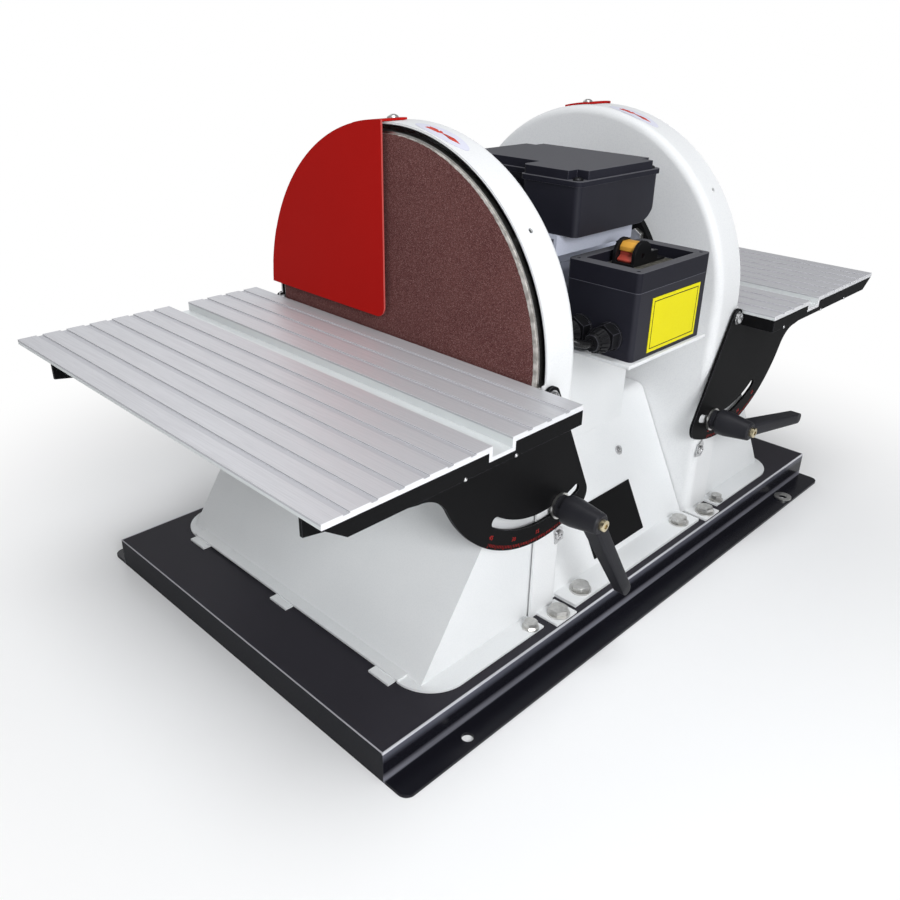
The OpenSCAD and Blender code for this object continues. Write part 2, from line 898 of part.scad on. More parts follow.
// Right end bell: closes the motor body, seats a bearing and carries the housing
module end_bell() {
  start = motor_l / 2;
  web_x = housing_back_x - bell_flange_t - bell_web;
  flange_x = housing_back_x - bell_flange_t;
  difference() {
    union() {
      translate([0, 0, shaft_z])
        difference() {
          union() {
            x_bar(bell_r, start, housing_back_x);
            x_bar(bell_flange_r, flange_x, housing_back_x);
          }
          difference() {
            x_bar(motor_in_r, start - cut, web_x);
            x_bar(bearing_od / 2 + bell_hub_wall, bearing_x, web_x + cut);
          }
          x_bar(bearing_od / 2 + bearing_clear, bearing_x - cut, bearing_x + bearing_w);
          x_bar(journal_d / 2 + bell_lip, bearing_x, housing_back_x + cut);
        }
      flange_bolt_places()
        x_bar(flange_lug_r, flange_x, housing_back_x);
    }
    flange_bolt_places()
      x_bar(bolt_r + bolt_clear, flange_x - cut, housing_back_x + cut);
  }
}

module left_end_bell() { color(black_paint) mirror([1, 0, 0]) end_bell(); }
module right_end_bell() { color(black_paint) end_bell(); }

// Ball bearings, one in each end bell
module bearings() {
  color([0.7, 0.71, 0.73])
    both_sides()
      translate([0, 0, shaft_z])
        difference() {
          x_bar(bearing_od / 2, bearing_x, bearing_x + bearing_w);
          x_bar(journal_d / 2, bearing_x - cut, bearing_x + bearing_w + cut);
        }
}

// Stator stack with its end windings
module stator() {
  bore = rotor_d / 2 + air_gap;
  color([0.62, 0.36, 0.2])
    translate([0, 0, shaft_z])
      difference() {
        union() {
          x_bar(motor_in_r - seat_clear, -stack_l / 2, stack_l / 2);
          x_bar(bore + winding_t, -stack_l / 2 - winding_l, stack_l / 2 + winding_l);
        }
        x_bar(bore, -stack_l / 2 - winding_l - cut, stack_l / 2 + winding_l + cut);
      }
}

// Bolts through the end bell flanges into the housings, with their nuts
module flange_bolts() {
  head_x = housing_back_x - bell_flange_t;
  nut_x = housing_back_x + housing_t;
  color(bolt_zinc)
    both_sides()
      flange_bolt_places() {
        translate([head_x - bolt_head_h, 0, 0])
          rotate([0, 90, 0])
            hex_bar(bolt_af, bolt_head_h);
        x_bar(bolt_r, head_x - bolt_head_h / 2, nut_x + nut_h + bolt_tail);
        translate([nut_x, 0, 0])
          rotate([0, 90, 0])
            hex_bar(bolt_af, nut_h);
      }
}

// Section of the housing wall: distance from the middle across, distance from the back plate up
module housing_section() {
  bend_y = housing_out_r - housing_bend_r;
  rect([housing_in_r, housing_bend_r], [housing_out_r, housing_depth]);
  intersection() {
    translate([bend_y, housing_bend_r])
      difference() {
        circle(housing_bend_r);
        circle(housing_bend_r - housing_t);
      }
    rect([bend_y, 0], [housing_out_r, housing_bend_r]);
  }
  rect([0, 0], [bend_y, housing_t]);
}

// Right disc housing: half-round rim, straight walls down to the base and a back plate
module housing() {
  difference() {
    union() {
      translate([housing_back_x, 0, shaft_z])
        rotate([0, 90, 0])
          rotate([0, 0, 90])
            rotate_extrude(angle = 180, $fn = 180)
              housing_section();
      front_and_back()
        housing_wall();
      front_and_back()
        pivot_lug();
      front_and_back()
        block([housing_tab_x - housing_tab_w / 2, -housing_out_r - housing_tab_l, base_h],
          [housing_tab_x + housing_tab_w / 2, -housing_in_r, base_h + housing_t]);
    }
    translate([0, 0, shaft_z])
      x_bar(back_hole_r, housing_back_x - cut, housing_back_x + housing_t + cut);
    flange_bolt_places()
      x_bar(bolt_r + bolt_clear, housing_back_x - cut, housing_back_x + housing_t + cut);
    base_bolt_holes();
    front_and_back()
      side_holes();
    guard_screw_places()
      translate([0, 0, housing_in_r - cut])
        cylinder(d = screw_d + bolt_clear, h = housing_t + cut + cut);
    for (turn = [90 - rim_hole_deg, rim_hole_deg - 90])
      translate([rim_hole_x, 0, shaft_z])
        rotate([turn, 0, 0])
          translate([0, 0, housing_in_r - cut])
            cylinder(d = rim_hole_d, h = housing_t + cut + cut);
  }
}

// Straight front half of the housing below the spindle
module housing_wall() {
  translate([housing_back_x, 0, base_h])
    mirror([0, 1, 0])
      linear_extrude(shaft_z - base_h)
        rotate(90)
          mirror([0, 1])
            housing_section();
}

// Lug that carries the tilt pivot past the housing front edge
module pivot_lug() {
  block([pivot_x - lug_back, -housing_out_r, pivot_z - lug_low],
    [pivot_x + lug_front, -housing_in_r, pivot_z + lug_high]);
}

// Holes through the side wall for pivot bolt, lock stud and pointer screw
module side_holes() {
  translate([pivot_x, 0, pivot_z])
    y_bar(pivot_d / 2 + bolt_clear, -housing_out_r - cut, -housing_in_r + cut);
  translate([stud_x, 0, stud_z])
    y_bar(stud_r + bolt_clear, -housing_out_r - cut, -housing_in_r + cut);
  pointer_place()
    translate([0, 0, -small_screw_l])
      cylinder(d = small_screw_d + bolt_clear, h = small_screw_l + cut);
}

module left_housing() { color(white_paint) mirror([1, 0, 0]) housing(); }
module right_housing() { color(white_paint) housing(); }

// Shroud outline in X and Z, drawn in by the sheet for its inside
module shroud_outline(skin, low, high) {
  foot_x = shroud_foot_x - skin - shroud_lean * (low - base_h);
  top_x = shroud_foot_x - skin - shroud_lean * (high - base_h);
  polygon([[shroud_back_x, low], [foot_x, low], [top_x, high], [shroud_back_x, high]]);
}

// Right dust shroud: a leaning front with two sides, in front of the lower half of the disc
module shroud() {
  lip_y = shroud_edge_y - shroud_round;
  toe_y = shroud_y - shroud_toe_in;
  difference() {
    union() {
      difference() {
        xz_slab(-shroud_y, shroud_y)
          shroud_outline(0, base_h, shroud_z);
        xz_slab(shroud_t - shroud_y, shroud_y - shroud_t)
          translate([-cut, 0])
            shroud_outline(shroud_skin - cut, base_h - cut, shroud_z + cut);
        block([shroud_top_x, -lip_y, base_h - cut], [shroud_lip_x, lip_y, base_h + shroud_gap]);
      }
      front_and_back()
        shroud_flange();
      block([shroud_foot_x - shroud_skin, -lip_y, base_h + shroud_gap],
        [shroud_lip_x, lip_y, base_h + shroud_gap + shroud_t]);
      for (y = [-toe_y, 0, toe_y])
        block([shroud_foot_x, y - shroud_toe_w / 2, base_h],
          [shroud_lip_x + shroud_toe, y + shroud_toe_w / 2, base_h + shroud_t]);
    }
    base_bolt_holes();
  }
}

// Side flange of the shroud on the base, carried round the corner to the lip
module shroud_flange() {
  end_x = shroud_lip_x - shroud_round;
  end_y = shroud_edge_y - shroud_round;
  translate([0, 0, base_h])
    linear_extrude(shroud_t)
      mirror([0, 1])
        difference() {
          union() {
            rect([housing_front_x, shroud_y - shroud_t], [end_x, shroud_edge_y]);
            intersection() {
              rect([end_x, end_y - cut], [shroud_lip_x, shroud_edge_y]);
              union() {
                translate([end_x, end_y])
                  circle(shroud_round);
                rect([end_x, end_y - cut], [shroud_lip_x, end_y]);
              }
            }
          }
          rect([0, 0], [shroud_foot_x - shroud_skin, shroud_y - shroud_t]);
        }
}

module left_shroud() { color(white_paint) mirror([1, 0, 0]) shroud(); }
module right_shroud() { color(white_paint) shroud(); }

// Outline of the guard in Y and Z about the spindle
module guard_outline() {
  intersection() {
    circle(guard_rad, $fn = 180);
    union() {
      rect([guard_side + guard_r, guard_low], [guard_rad, guard_rad]);
      rect([guard_side, guard_low + guard_r], [guard_rad, guard_rad]);
      translate([guard_side + guard_r, guard_low + guard_r])
        circle(guard_r);
    }
  }
}

// A tab of the guard bent back over the housing rim, between two angles from the top
module guard_tab(degs) {
  translate([guard_front_x - guard_tab_l, 0, shaft_z])
    rotate([0, 90, 0])
      rotate([0, 0, 180 - degs[1]])
        rotate_extrude(angle = degs[1] - degs[0], $fn = 180)
          rect([guard_tab_in_r, 0], [guard_tab_out_r, guard_tab_l]);
}

// Places of the guard screws, with Z pointing out of the rim
module guard_screw_places() {
  for (turn = guard_screw_degs)
    translate([guard_screw_x, 0, shaft_z])
      rotate([-turn, 0, 0])
        children();
}

// Right guard: a flat sheet in front of the rising half of the disc, held on the rim
module guard() {
  difference() {
    union() {
      translate([0, 0, shaft_z])
        yz_slab(guard_back_x, guard_front_x)
          guard_outline();
      guard_tab(guard_top_deg);
      guard_tab(guard_side_deg);
    }
    guard_screw_places()
      translate([0, 0, guard_tab_in_r - cut])
        cylinder(d = screw_d + bolt_clear, h = guard_t + cut + cut);
  }
}

module left_guard() { color(red_paint) mirror([1, 0, 0]) guard(); }
module right_guard() { color(red_paint) guard(); }

// Round-head screws that hold the guards on the rims
module guard_screws() {
  color([0.75, 0.75, 0.75])
    both_sides()
      guard_screw_places() {
        translate([0, 0, guard_tab_out_r])
          intersection() {
            cylinder(d = screw_head_d, h = screw_head_d);
            translate([0, 0, -screw_dome_low])
              sphere(d = screw_dome_d);
          }
        translate([0, 0, housing_in_r - guard_t])
          cylinder(d = screw_d, h = guard_tab_out_r - housing_in_r + guard_t + guard_t);
      }
}

// Switch bracket: one bent plate, a shelf on a leg welded to the pedestal front
module switch_bracket() {
  half = switch_x + switch_bracket_rim;
  front = switch_front + switch_bracket_rim / 2;
  leg_back = switch_leg_y - switch_bracket_t;
  shelf = switch_z - switch_bracket_t;
  foot = [for (y = [switch_leg_y, leg_back]) base_h + (pedestal_foot - y) / pedestal_lean];
  color(white_paint)
    yz_slab(-half, half)
      polygon([[-switch_leg_y, foot[0]], [-leg_back, foot[1]], [-leg_back, switch_z],
        [-front, switch_z], [-front, shelf], [-switch_leg_y, shelf]]);
}

// Plan of the switch box, drawn in by a wall
module switch_plan(skin, r) {
  round_rect([skin - switch_x, skin - switch_front], [switch_x - skin, -switch_back - skin], r);
}

// Switch box: an open box with two gland holes in its left side
module switch_box() {
  color(black_paint)
    difference() {
      translate([0, 0, switch_z])
        linear_extrude(switch_seam - switch_z)
          switch_plan(0, switch_corner_r);
      translate([0, 0, switch_z + switch_wall])
        linear_extrude(switch_h)
          switch_plan(switch_wall, switch_corner_r - switch_wall);
      for (y = gland_ys)
        translate([0, y, gland_z])
          x_bar(gland_tail_d / 2 + seat_clear, -switch_x - cut, switch_wall + cut - switch_x);
    }
}

// The four lid screw places of the switch box
module lid_screw_places() {
  for (x = [lid_screw_in - switch_x, switch_x - lid_screw_in])
    for (y = [lid_screw_in - switch_front, -switch_back - lid_screw_in])
      translate([x, y, 0])
        children();
}

// Switch box lid: a deep frame with a sunk floor that holds the switch
module switch_box_lid() {
  mid_y = -(switch_front + switch_back) / 2;
  floor_low = recess_floor - switch_wall;
  color(black_plastic)
    difference() {
      translate([0, 0, switch_seam])
        linear_extrude(switch_lid_h)
          switch_plan(0, switch_corner_r);
      translate([0, 0, recess_floor])
        linear_extrude(recess_d + cut)
          round_rect([-recess_w / 2, mid_y - recess_l / 2],
            [recess_w / 2, mid_y + recess_l / 2], switch_wall);
      translate([0, 0, switch_seam - cut])
        linear_extrude(floor_low - switch_seam + cut)
          round_rect([-recess_w / 2, mid_y - recess_l / 2],
            [recess_w / 2, mid_y + recess_l / 2], switch_wall);
      toggle_body(seat_clear);
      lid_screw_places()
        translate([0, 0, switch_seam - cut])
          cylinder(d = lid_screw_d, h = switch_lid_h + cut + cut);
      toggle_screw_places()
        translate([0, 0, floor_low - cut])
          cylinder(d = toggle_screw_d + seat_clear + seat_clear, h = recess_d);
    }
}

// Body of the switch under the lid floor, with room around it
module toggle_body(room) {
  translate([toggle_x, toggle_y, 0])
    block([-toggle_body_w / 2 - room, -toggle_body_l / 2 - room, recess_floor - toggle_body_h],
      [toggle_body_w / 2 + room, toggle_body_l / 2 + room, recess_floor + room]);
}

// Place of the screw beside the rocker
module toggle_screw_places() {
  translate([toggle_screw_x, toggle_y, 0])
    children();
}

// Outline of a cheek in X and Z: a half round with a low tail
module cheek_outline() {
  low = recess_floor + toggle_base_t;
  translate([cheek_x, low + cheek_h])
    circle(cheek_r);
  rect([cheek_x - cheek_r, low], [cheek_x + cheek_r, low + cheek_h]);
  rect([cheek_x, low], [cheek_x + cheek_r + cheek_tail_l, low + cheek_tail_h]);
}

// Switch: base plate, two cheeks and the body below the lid floor
module switch_body() {
  low = recess_floor;
  color([0.07, 0.07, 0.08])
    difference() {
      union() {
        toggle_body(0);
        translate([toggle_x, toggle_y, 0])
          block([-toggle_w / 2, -toggle_l / 2, low],
            [toggle_w / 2, toggle_l / 2, low + toggle_base_t]);
        for (y = [toggle_y - toggle_l / 2, toggle_y + toggle_l / 2 - cheek_t])
          intersection() {
            xz_slab(y, y + cheek_t)
              cheek_outline();
            block([-switch_x, -switch_front, low], [switch_x, 0, low + switch_h]);
          }
      }
      translate([cheek_x, toggle_y, rocker_z])
        y_bar(rocker_r + rocker_gap, cheek_t - toggle_l / 2, toggle_l / 2 - cheek_t);
      translate([cheek_x, toggle_y, rocker_z])
        y_bar(rocker_pin_d / 2 + run_clear, -toggle_l / 2 - cut, toggle_l / 2 + cut);
      toggle_screw_places()
        translate([0, 0, low - toggle_body_h - cut])
          cylinder(d = toggle_screw_d + seat_clear + seat_clear, h = toggle_body_h + cheek_h);
    }
}

// Outline of the rocker in X and Z: a round with two flats for the finger
module rocker_outline() {
  flat = rocker_r - rocker_flat;
  difference() {
    circle(rocker_r);
    for (turn = [-rocker_flat_deg, rocker_flat_deg])
      rotate(turn)
        rect([-rocker_r, flat], [rocker_r, rocker_r + cut]);
  }
}

// Rocker paddle between the cheeks, on two stub pins
module switch_rocker() {
  half = toggle_l / 2 - cheek_t - rocker_gap;
  pin = toggle_l / 2 - rocker_gap;
  color([0.8, 0.5, 0.1])
    translate([cheek_x, toggle_y, rocker_z]) {
      xz_slab(-half, half)
        rocker_outline();
      y_bar(rocker_pin_d / 2, -pin, pin);
    }
}

// Screws of the switch box lid and of the switch
module switch_screws() {
  color([0.2, 0.2, 0.2]) {
    lid_screw_places()
      translate([0, 0, switch_seam])
        cylinder(d = lid_screw_d - seat_clear - seat_clear, h = switch_lid_h - lid_screw_sink);
    toggle_screw_places() {
      translate([0, 0, recess_floor + toggle_base_t])
        cylinder(d = toggle_screw_head_d, h = toggle_base_t);
      translate([0, 0, recess_floor - toggle_body_h / 2])
        cylinder(d = toggle_screw_d, h = toggle_body_h / 2 + toggle_base_t + toggle_base_t / 2);
    }
  }
}

// Blank plate on the front of the switch box
module label_plate() {
  color([0.98, 0.85, 0.05])
    block([label_x - label_w / 2, -switch_front - label_t, label_z - label_h / 2],
      [label_x + label_w / 2, -switch_front, label_z + label_h / 2]);
}

// A cable gland along -X from a wall at zero, with a tail through the wall
module gland() {
  hex_end = gland_flange_l + gland_hex_l;
  neck_end = hex_end + gland_neck_l;
  difference() {
    union() {
      x_bar(gland_flange_d / 2, -gland_flange_l, 0);
      rotate([0, -90, 0])
        hex_bar(gland_af, hex_end);
      x_bar(gland_neck_d / 2, -neck_end, 0);
      translate([-neck_end, 0, 0])
        rotate([0, -90, 0])
          cylinder(d1 = gland_dome_d, d2 = gland_tip_d, h = gland_dome_l);
      x_bar(gland_tail_d / 2, 0, gland_tail_l);
    }
    x_bar(lead_d / 2 + run_clear, -neck_end - gland_dome_l - cut, gland_tail_l + cut);
  }
}

// Cable glands: motor lead and mains inlet in the switch box, motor lead in the top box
module cable_glands() {
  color([0.06, 0.06, 0.07]) {
    for (y = gland_ys)
      translate([-switch_x, y, gland_z])
        gland();
    translate([top_step_x, lead_gland_y, lead_gland_z])
      gland();
  }
}

// Smooth curve through the points of a route
function route_point(p, i, t) =
  let (a = p[max(i - 1, 0)], b = p[i], c = p[i + 1], d = p[min(i + 2, len(p) - 1)])
  (b + b + (c - a) * t + (a + a - 5 * b + 4 * c - d) * t * t
    + (3 * b - a - 3 * c + d) * t * t * t) / 2;
function route_curve(p, steps) = concat(
  [for (i = [0 : len(p) - 2], k = [0 : steps - 1]) route_point(p, i, k / steps)],
  [p[len(p) - 1]]);
function unit(v) = v / norm(v);

// A tube along a route: rings of points, joined by triangles and closed at both ends
module tube(route, d, sides, steps, side_hint) {
  line = route_curve(route, steps);
  last = len(line) - 1;
  rings = [for (i = [0 : last])
    let (along = unit(line[min(i + 1, last)] - line[max(i - 1, 0)]),
      across = unit(cross(along, side_hint)),
      other = cross(along, across))
    for (k = [0 : sides - 1])
      line[i] + d / 2 * (across * cos(k * 360 / sides) + other * sin(k * 360 / sides))];
  walls = [for (i = [0 : last - 1], k = [0 : sides - 1])
    let (a = i * sides + k, b = i * sides + (k + 1) % sides)
    each [[a, a + sides, b], [b, a + sides, b + sides]]];
  ends = [for (k = [1 : sides - 2])
    each [[0, k, k + 1], [last * sides, last * sides + k + 1, last * sides + k]]];
  polyhedron(points = rings, faces = concat(walls, ends), convexity = 4);
}

// Lead from the switch box to the motor's top box
module motor_lead() {
  color([0.05, 0.05, 0.05])
    tube(lead_route, lead_d, lead_sides, lead_steps, lead_side);
}

// Plate on the motor that carries the top box, with a lip bent down in front
module top_box_plate() {
  low = top_plate_z;
  color([0.72, 0.73, 0.74])
    difference() {
      union() {
        block([top_plate_x0, -top_plate_front, low], [top_plate_x1, top_plate_back, top_box_z]);
        block([top_plate_x0, -top_plate_front, low - top_lip_h],
          [top_plate_x1, top_plate_t - top_plate_front, low]);
        block([-top_saddle_x, -top_saddle_y, low - top_saddle_h],
          [top_saddle_x, top_saddle_y, top_box_z]);
      }
      translate([0, 0, shaft_z])
        x_bar(motor_r + fin_h + seat_clear, -top_saddle_x - cut, top_saddle_x + cut);
    }
}

// Plan of the top box: a wide front part and a narrow back part, grown by an edge
module top_box_plan(grow, r) {
  round_rect([top_box_x0 - grow, top_box_y0 - grow],
    [top_box_x1 + grow, top_box_y0 + top_box_wide_l + grow], r);
  round_rect([top_step_x - grow, top_box_y0 - grow],
    [top_box_x1 + grow, top_box_y1 + grow], r);
}

// Section of the top box in X and Z, rounded under its right side, drawn in by a wall
module top_box_section(x0, skin) {
  r = top_box_r - skin;
  low = top_box_z + skin;
  high = top_seam + cut;
  end_x = top_box_x1 - skin;
  rect([x0 + skin, low], [end_x - r, high]);
  rect([end_x - r, low + r], [end_x, high]);
  translate([end_x - r, low + r])
    circle(r);
}

// The filled form of the top box, drawn in by a wall
module top_box_form(skin, high) {
  intersection() {
    union() {
      xz_slab(top_box_y0, top_box_y0 + top_box_wide_l - skin)
        top_box_section(top_box_x0, skin);
      xz_slab(top_box_y0, top_box_y1)
        top_box_section(top_step_x, skin);
    }
    translate([0, 0, top_box_z])
      linear_extrude(high - top_box_z)
        top_box_plan(-skin, top_corner_r - skin);
  }
}

// Top box: moulded box for the motor terminals and the capacitor
module top_box() {
  color([0.08, 0.08, 0.09])
    difference() {
      top_box_form(0, top_seam);
      top_box_form(top_box_wall, top_seam + cut);
      translate([0, lead_gland_y, lead_gland_z])
        x_bar(gland_tail_d / 2 + seat_clear, top_step_x - cut, top_step_x + top_box_wall + cut);
    }
}

// The corners of the top box lid where its screws sit
top_screw_places = [[top_box_x0, top_box_y0, 1, 1], [top_box_x1, top_box_y0, -1, 1],
  [top_box_x1, top_box_y1, -1, -1], [top_step_x, top_box_y1, 1, -1]];

// Top box lid: a rim, and a raised top that leaves the screw corners free
module top_box_lid() {
  hole = small_screw_d + seat_clear + seat_clear;
  color(black_plastic)
    difference() {
      translate([0, 0, top_seam]) {
        linear_extrude(top_lid_rim_h)
          top_box_plan(top_lid_over, top_corner_r);
        linear_extrude(top_lid_h)
          difference() {
            top_box_plan(0, top_corner_r);
            for (p = top_screw_places)
              translate([p[0], p[1]])
                scale([p[2], p[3]])
                  rect([-top_notch, -top_notch], [top_notch, top_notch]);
          }
      }
      for (p = top_screw_places)
        translate([p[0] + p[2] * top_notch / 2, p[1] + p[3] * top_notch / 2, top_seam - cut])
          cylinder(d = hole, h = top_lid_rim_h + cut + cut);
    }
}

// Screws in the corners of the top box lid
module top_box_screws() {
  color([0.15, 0.15, 0.16])
    for (p = top_screw_places)
      translate([p[0] + p[2] * top_notch / 2, p[1] + p[3] * top_notch / 2, top_seam + top_lid_rim_h])
        pan_head_screw();
}

// Motor capacitor lying in the top box
module capacitor() {
  color([0.75, 0.75, 0.78])
    translate([top_box_off + capacitor_d / 2, 0, top_box_z + top_box_wall + capacitor_d / 2 + body_clear])
      y_bar(capacitor_d / 2, -capacitor_l, 0);
}

// Bolts that the table brackets turn on, with weld nuts inside the housings
module pivot_bolts() {
  nut_y = housing_in_r - weld_nut_t;
  head_y = bracket_out_y + body_clear;
  color(bolt_zinc)
    four_corners()
      translate([pivot_x, 0, pivot_z]) {
        y_bar(pivot_d / 2, -head_y - pivot_head_h / 2, -nut_y);
        translate([0, -head_y, 0])
          rotate([90, 0, 0]) {
            cylinder(d = pivot_washer_d, h = pivot_washer_t);
            intersection() {
              cylinder(d = pivot_head_d, h = pivot_head_h);
              translate([0, 0, pivot_head_h - pivot_dome_r])
                sphere(pivot_dome_r);
            }
          }
        translate([0, -nut_y, 0])
          rotate([90, 0, 0])
            hex_bar(pivot_af, weld_nut_t);
      }
}

// A plain washer along -Y
module washer() {
  difference() {
    y_bar(washer_r, -washer_t, 0);
    y_bar(stud_r + bolt_clear, -washer_t - cut, cut);
  }
}

// Weld nut inside the housing wall with the threaded stud in it
module welded_stud(end_y) {
  y_bar(stud_r, -end_y, weld_nut_t - housing_in_r);
  translate([0, weld_nut_t - housing_in_r, 0])
    rotate([90, 0, 0])
      hex_bar(stud_nut_af, weld_nut_t);
}

// Front studs that the clamp levers turn on, with their washers
module lock_studs() {
  color(bolt_zinc)
    both_sides()
      translate([stud_x, 0, stud_z]) {
        welded_stud(lever_y + lever_bore_l - lever_stud_gap);
        translate([0, -washer_y, 0])
          washer();
      }
}

// Back studs with a washer and a nut, which guide the rear brackets
module rear_guide_bolts() {
  nut_y = washer_y + washer_t;
  color(bolt_zinc)
    both_sides()
      mirror([0, 1, 0])
        translate([stud_x, 0, stud_z]) {
          welded_stud(nut_y + nut_h + bolt_tail);
          translate([0, -nut_y, 0])
            rotate([90, 0, 0])
              hex_bar(bolt_af, nut_h);
          translate([0, -washer_y, 0])
            washer();
        }
}

// Place of a right tilt pointer's screw, on the front wall, with Z pointing out
module pointer_place() {
  at = swing(quadrant_r + body_clear + pointer_screw_off, -pointer_deg);
  translate([pivot_x + at.x, -housing_out_r, pivot_z + at.y])
    rotate([90, 0, 0])
      rotate(-pointer_deg)
        children();
}

// Tilt pointers: small arrow plates under the edge of the quadrants
module pointers() {
  tip = pointer_screw_off - pointer_gap;
  color([0.75, 0.75, 0.75])
    both_sides()
      pointer_place()
        difference() {
          linear_extrude(pointer_t)
            polygon([[0, tip], [pointer_w / 2, tip - pointer_head],
              [pointer_w / 2, tip - pointer_l], [-pointer_w / 2, tip - pointer_l],
              [-pointer_w / 2, tip - pointer_head]]);
          translate([0, 0, -cut])
            cylinder(d = small_screw_d + seat_clear + seat_clear, h = pointer_t + cut + cut);
        }
}

// Spindle shaft through rotor, bearings and disc hubs
module shaft() {
  shoulder = bearing_x - body_clear;
  tip = disc_back_x + hub_bore_depth - shaft_end_gap;
  color([0.72, 0.73, 0.75])
    translate([0, 0, shaft_z]) {
      x_bar(rotor_shaft_d / 2, -shoulder, shoulder);
      x_bar(journal_d / 2 - bearing_clear, -housing_back_x, housing_back_x);
      x_bar(shaft_end_d / 2, -tip, tip);
    }
}

// Rotor core on the shaft
module rotor() {
  color([0.55, 0.56, 0.58])
    translate([0, 0, shaft_z])
      difference() {
        x_bar(rotor_d / 2, -stack_l / 2, stack_l / 2);
        x_bar(rotor_shaft_d / 2 + seat_clear, -stack_l / 2 - cut, stack_l / 2 + cut);
      }
}

// Places of the two set screws in a right hub, with Z pointing out of the hub
module set_screw_places() {
  for (turn = [0, 90])
    translate([hub_x + set_screw_off, 0, shaft_z])
      rotate([turn, 0, 0])
        children();
}

// Right sanding disc: a cast plate with a hub that slides on the shaft end
module disc() {
  difference() {
    translate([0, 0, shaft_z])
      difference() {
        union() {
          x_bar(disc_r, disc_back_x, disc_front_x, $fn = 180);
          x_bar(hub_d / 2, hub_x, disc_back_x);
        }
        x_bar(shaft_end_d / 2 + seat_clear, hub_x - cut, disc_back_x + hub_bore_depth);
      }
    set_screw_places()
      cylinder(d = set_screw_d + seat_clear + seat_clear, h = hub_d);
  }
}

module left_disc() { color(bare_metal) mirror([1, 0, 0]) disc(); }
module right_disc() { color(bare_metal) disc(); }

// Abrasive sheet on the right disc
module abrasive() {
  translate([0, 0, shaft_z])
    x_bar(disc_r - paper_inset, disc_front_x, face_x, $fn = 180);
}

module left_abrasive() { color(grit_brown) mirror([1, 0, 0]) abrasive(); }
module right_abrasive() { color(grit_brown) abrasive(); }

// Set screws that hold the hubs on the shaft
module set_screws() {
  start = shaft_end_d / 2 + seat_clear;
  color([0.2, 0.2, 0.2])
    both_sides()
      set_screw_places()
        translate([0, 0, start])
          cylinder(d = set_screw_d, h = hub_d / 2 - start - set_screw_sink);
}

// Section of the right table in X and Z: ribbed plate with a miter channel
module table_section() {
  slot_low = table_top - miter_d;
  miter_end = miter_x + miter_w;
  inner_pitch = (miter_off + groove_w) / inner_lands;
  outer_pitch = (table_out_x - miter_end + groove_w) / outer_lands;
  difference() {
    union() {
      rect([table_in_x, table_under], [table_out_x, table_top]);
      rect([miter_x - miter_wall, slot_low - miter_wall], [miter_end + miter_wall, table_top]);
    }
    rect([miter_x, slot_low], [miter_end, table_top + cut]);
    for (i = [1 : inner_lands - 1])
      translate([table_in_x + i * inner_pitch, table_top])
        rect([-groove_w, -groove_d], [0, cut]);
    for (i = [1 : outer_lands - 1])
      translate([miter_end + i * outer_pitch, table_top])
        rect([-groove_w, -groove_d], [0, cut]);
  }
}

// Places of the screws under the right table
module table_screw_places() {
  for (x = rib_xs, y = [-table_screw_y, table_screw_y])
    translate([x, y, shelf_under])
      children();
}

// Right table: an extruded plate with two ribs that sit on the brackets
module table() {
  rib_y = band_in_y - body_clear;
  difference() {
    union() {
      xz_slab(-table_w / 2, table_w / 2)
        table_section();
      for (x = rib_xs)
        block([x - rib_w / 2, -rib_y, shelf_top], [x + rib_w / 2, rib_y, table_under + table_t / 4]);
    }
    table_screw_places()
      cylinder(d = screw_d + seat_clear + seat_clear, h = bracket_t + table_screw_grip + cut);
  }
}

module left_table() { color(table_metal) mirror([1, 0, 0]) table(); }
module right_table() { color(table_metal) table(); }

// Screws up through the bracket shelves into the table ribs
module table_screws() {
  table_screw_places() {
    translate([0, 0, -screw_d / 2])
      cylinder(d = screw_head_d, h = screw_d / 2);
    cylinder(d = screw_d, h = bracket_t + table_screw_grip);
  }
}

module left_table_screws() { color(bolt_zinc) mirror([1, 0, 0]) table_screws(); }
module right_table_screws() { color(bolt_zinc) table_screws(); }

// Curved slot about the pivot between two angles from straight down
module tilt_slot() {
  far = 2 * tilt_slot_r;
  intersection() {
    difference() {
      circle(tilt_slot_r + tilt_slot_w / 2);
      circle(tilt_slot_r - tilt_slot_w / 2);
    }
    polygon([[0, 0], swing(far, -tilt_slot_in_deg), swing(far, 0), swing(far, tilt_slot_out_deg)]);
  }
  for (deg = [-tilt_slot_in_deg, tilt_slot_out_deg])
    translate(swing(tilt_slot_r, deg))
      circle(tilt_slot_w / 2);
}

// Outline of a tilt quadrant with its web, about the pivot
module quadrant_outline() {
  out = [cos(quadrant_edge_deg), -sin(quadrant_edge_deg)];
  along = [-sin(quadrant_edge_deg), -cos(quadrant_edge_deg)];
  nose_off = nose_r - ear_r;
  run = sqrt(pow(quadrant_r - nose_r, 2) - nose_off * nose_off);
  nose = nose_off * out + run * along;
  far = 2 * quadrant_r;
  flare_w = -web_drop - flare_r;
  flare_u = sqrt(pow(quadrant_r + flare_r, 2) - flare_w * flare_w);
  meet = [flare_u, flare_w] * quadrant_r / (quadrant_r + flare_r);
  intersection() {
    circle(quadrant_r);
    polygon([-ear_r * out, run * along - ear_r * out, nose, 2 * nose, [far, -far], [far, shelf_w],
      [0, shelf_w]]);
  }
  translate(nose)
    circle(nose_r);
  difference() {
    polygon([meet, [flare_u, flare_w], [flare_u, shelf_w], [meet.x, shelf_w]]);
    translate([flare_u, flare_w])
      circle(flare_r);
  }
  polygon([[flare_u, shelf_w], [web_l, shelf_w], [web_l, -web_end_drop], [flare_u, -web_drop]]);
  difference() {
    circle(ear_r);
    rect([pivot_in - body_clear, table_under - pivot_z - body_clear], [far, far]);
  }
}

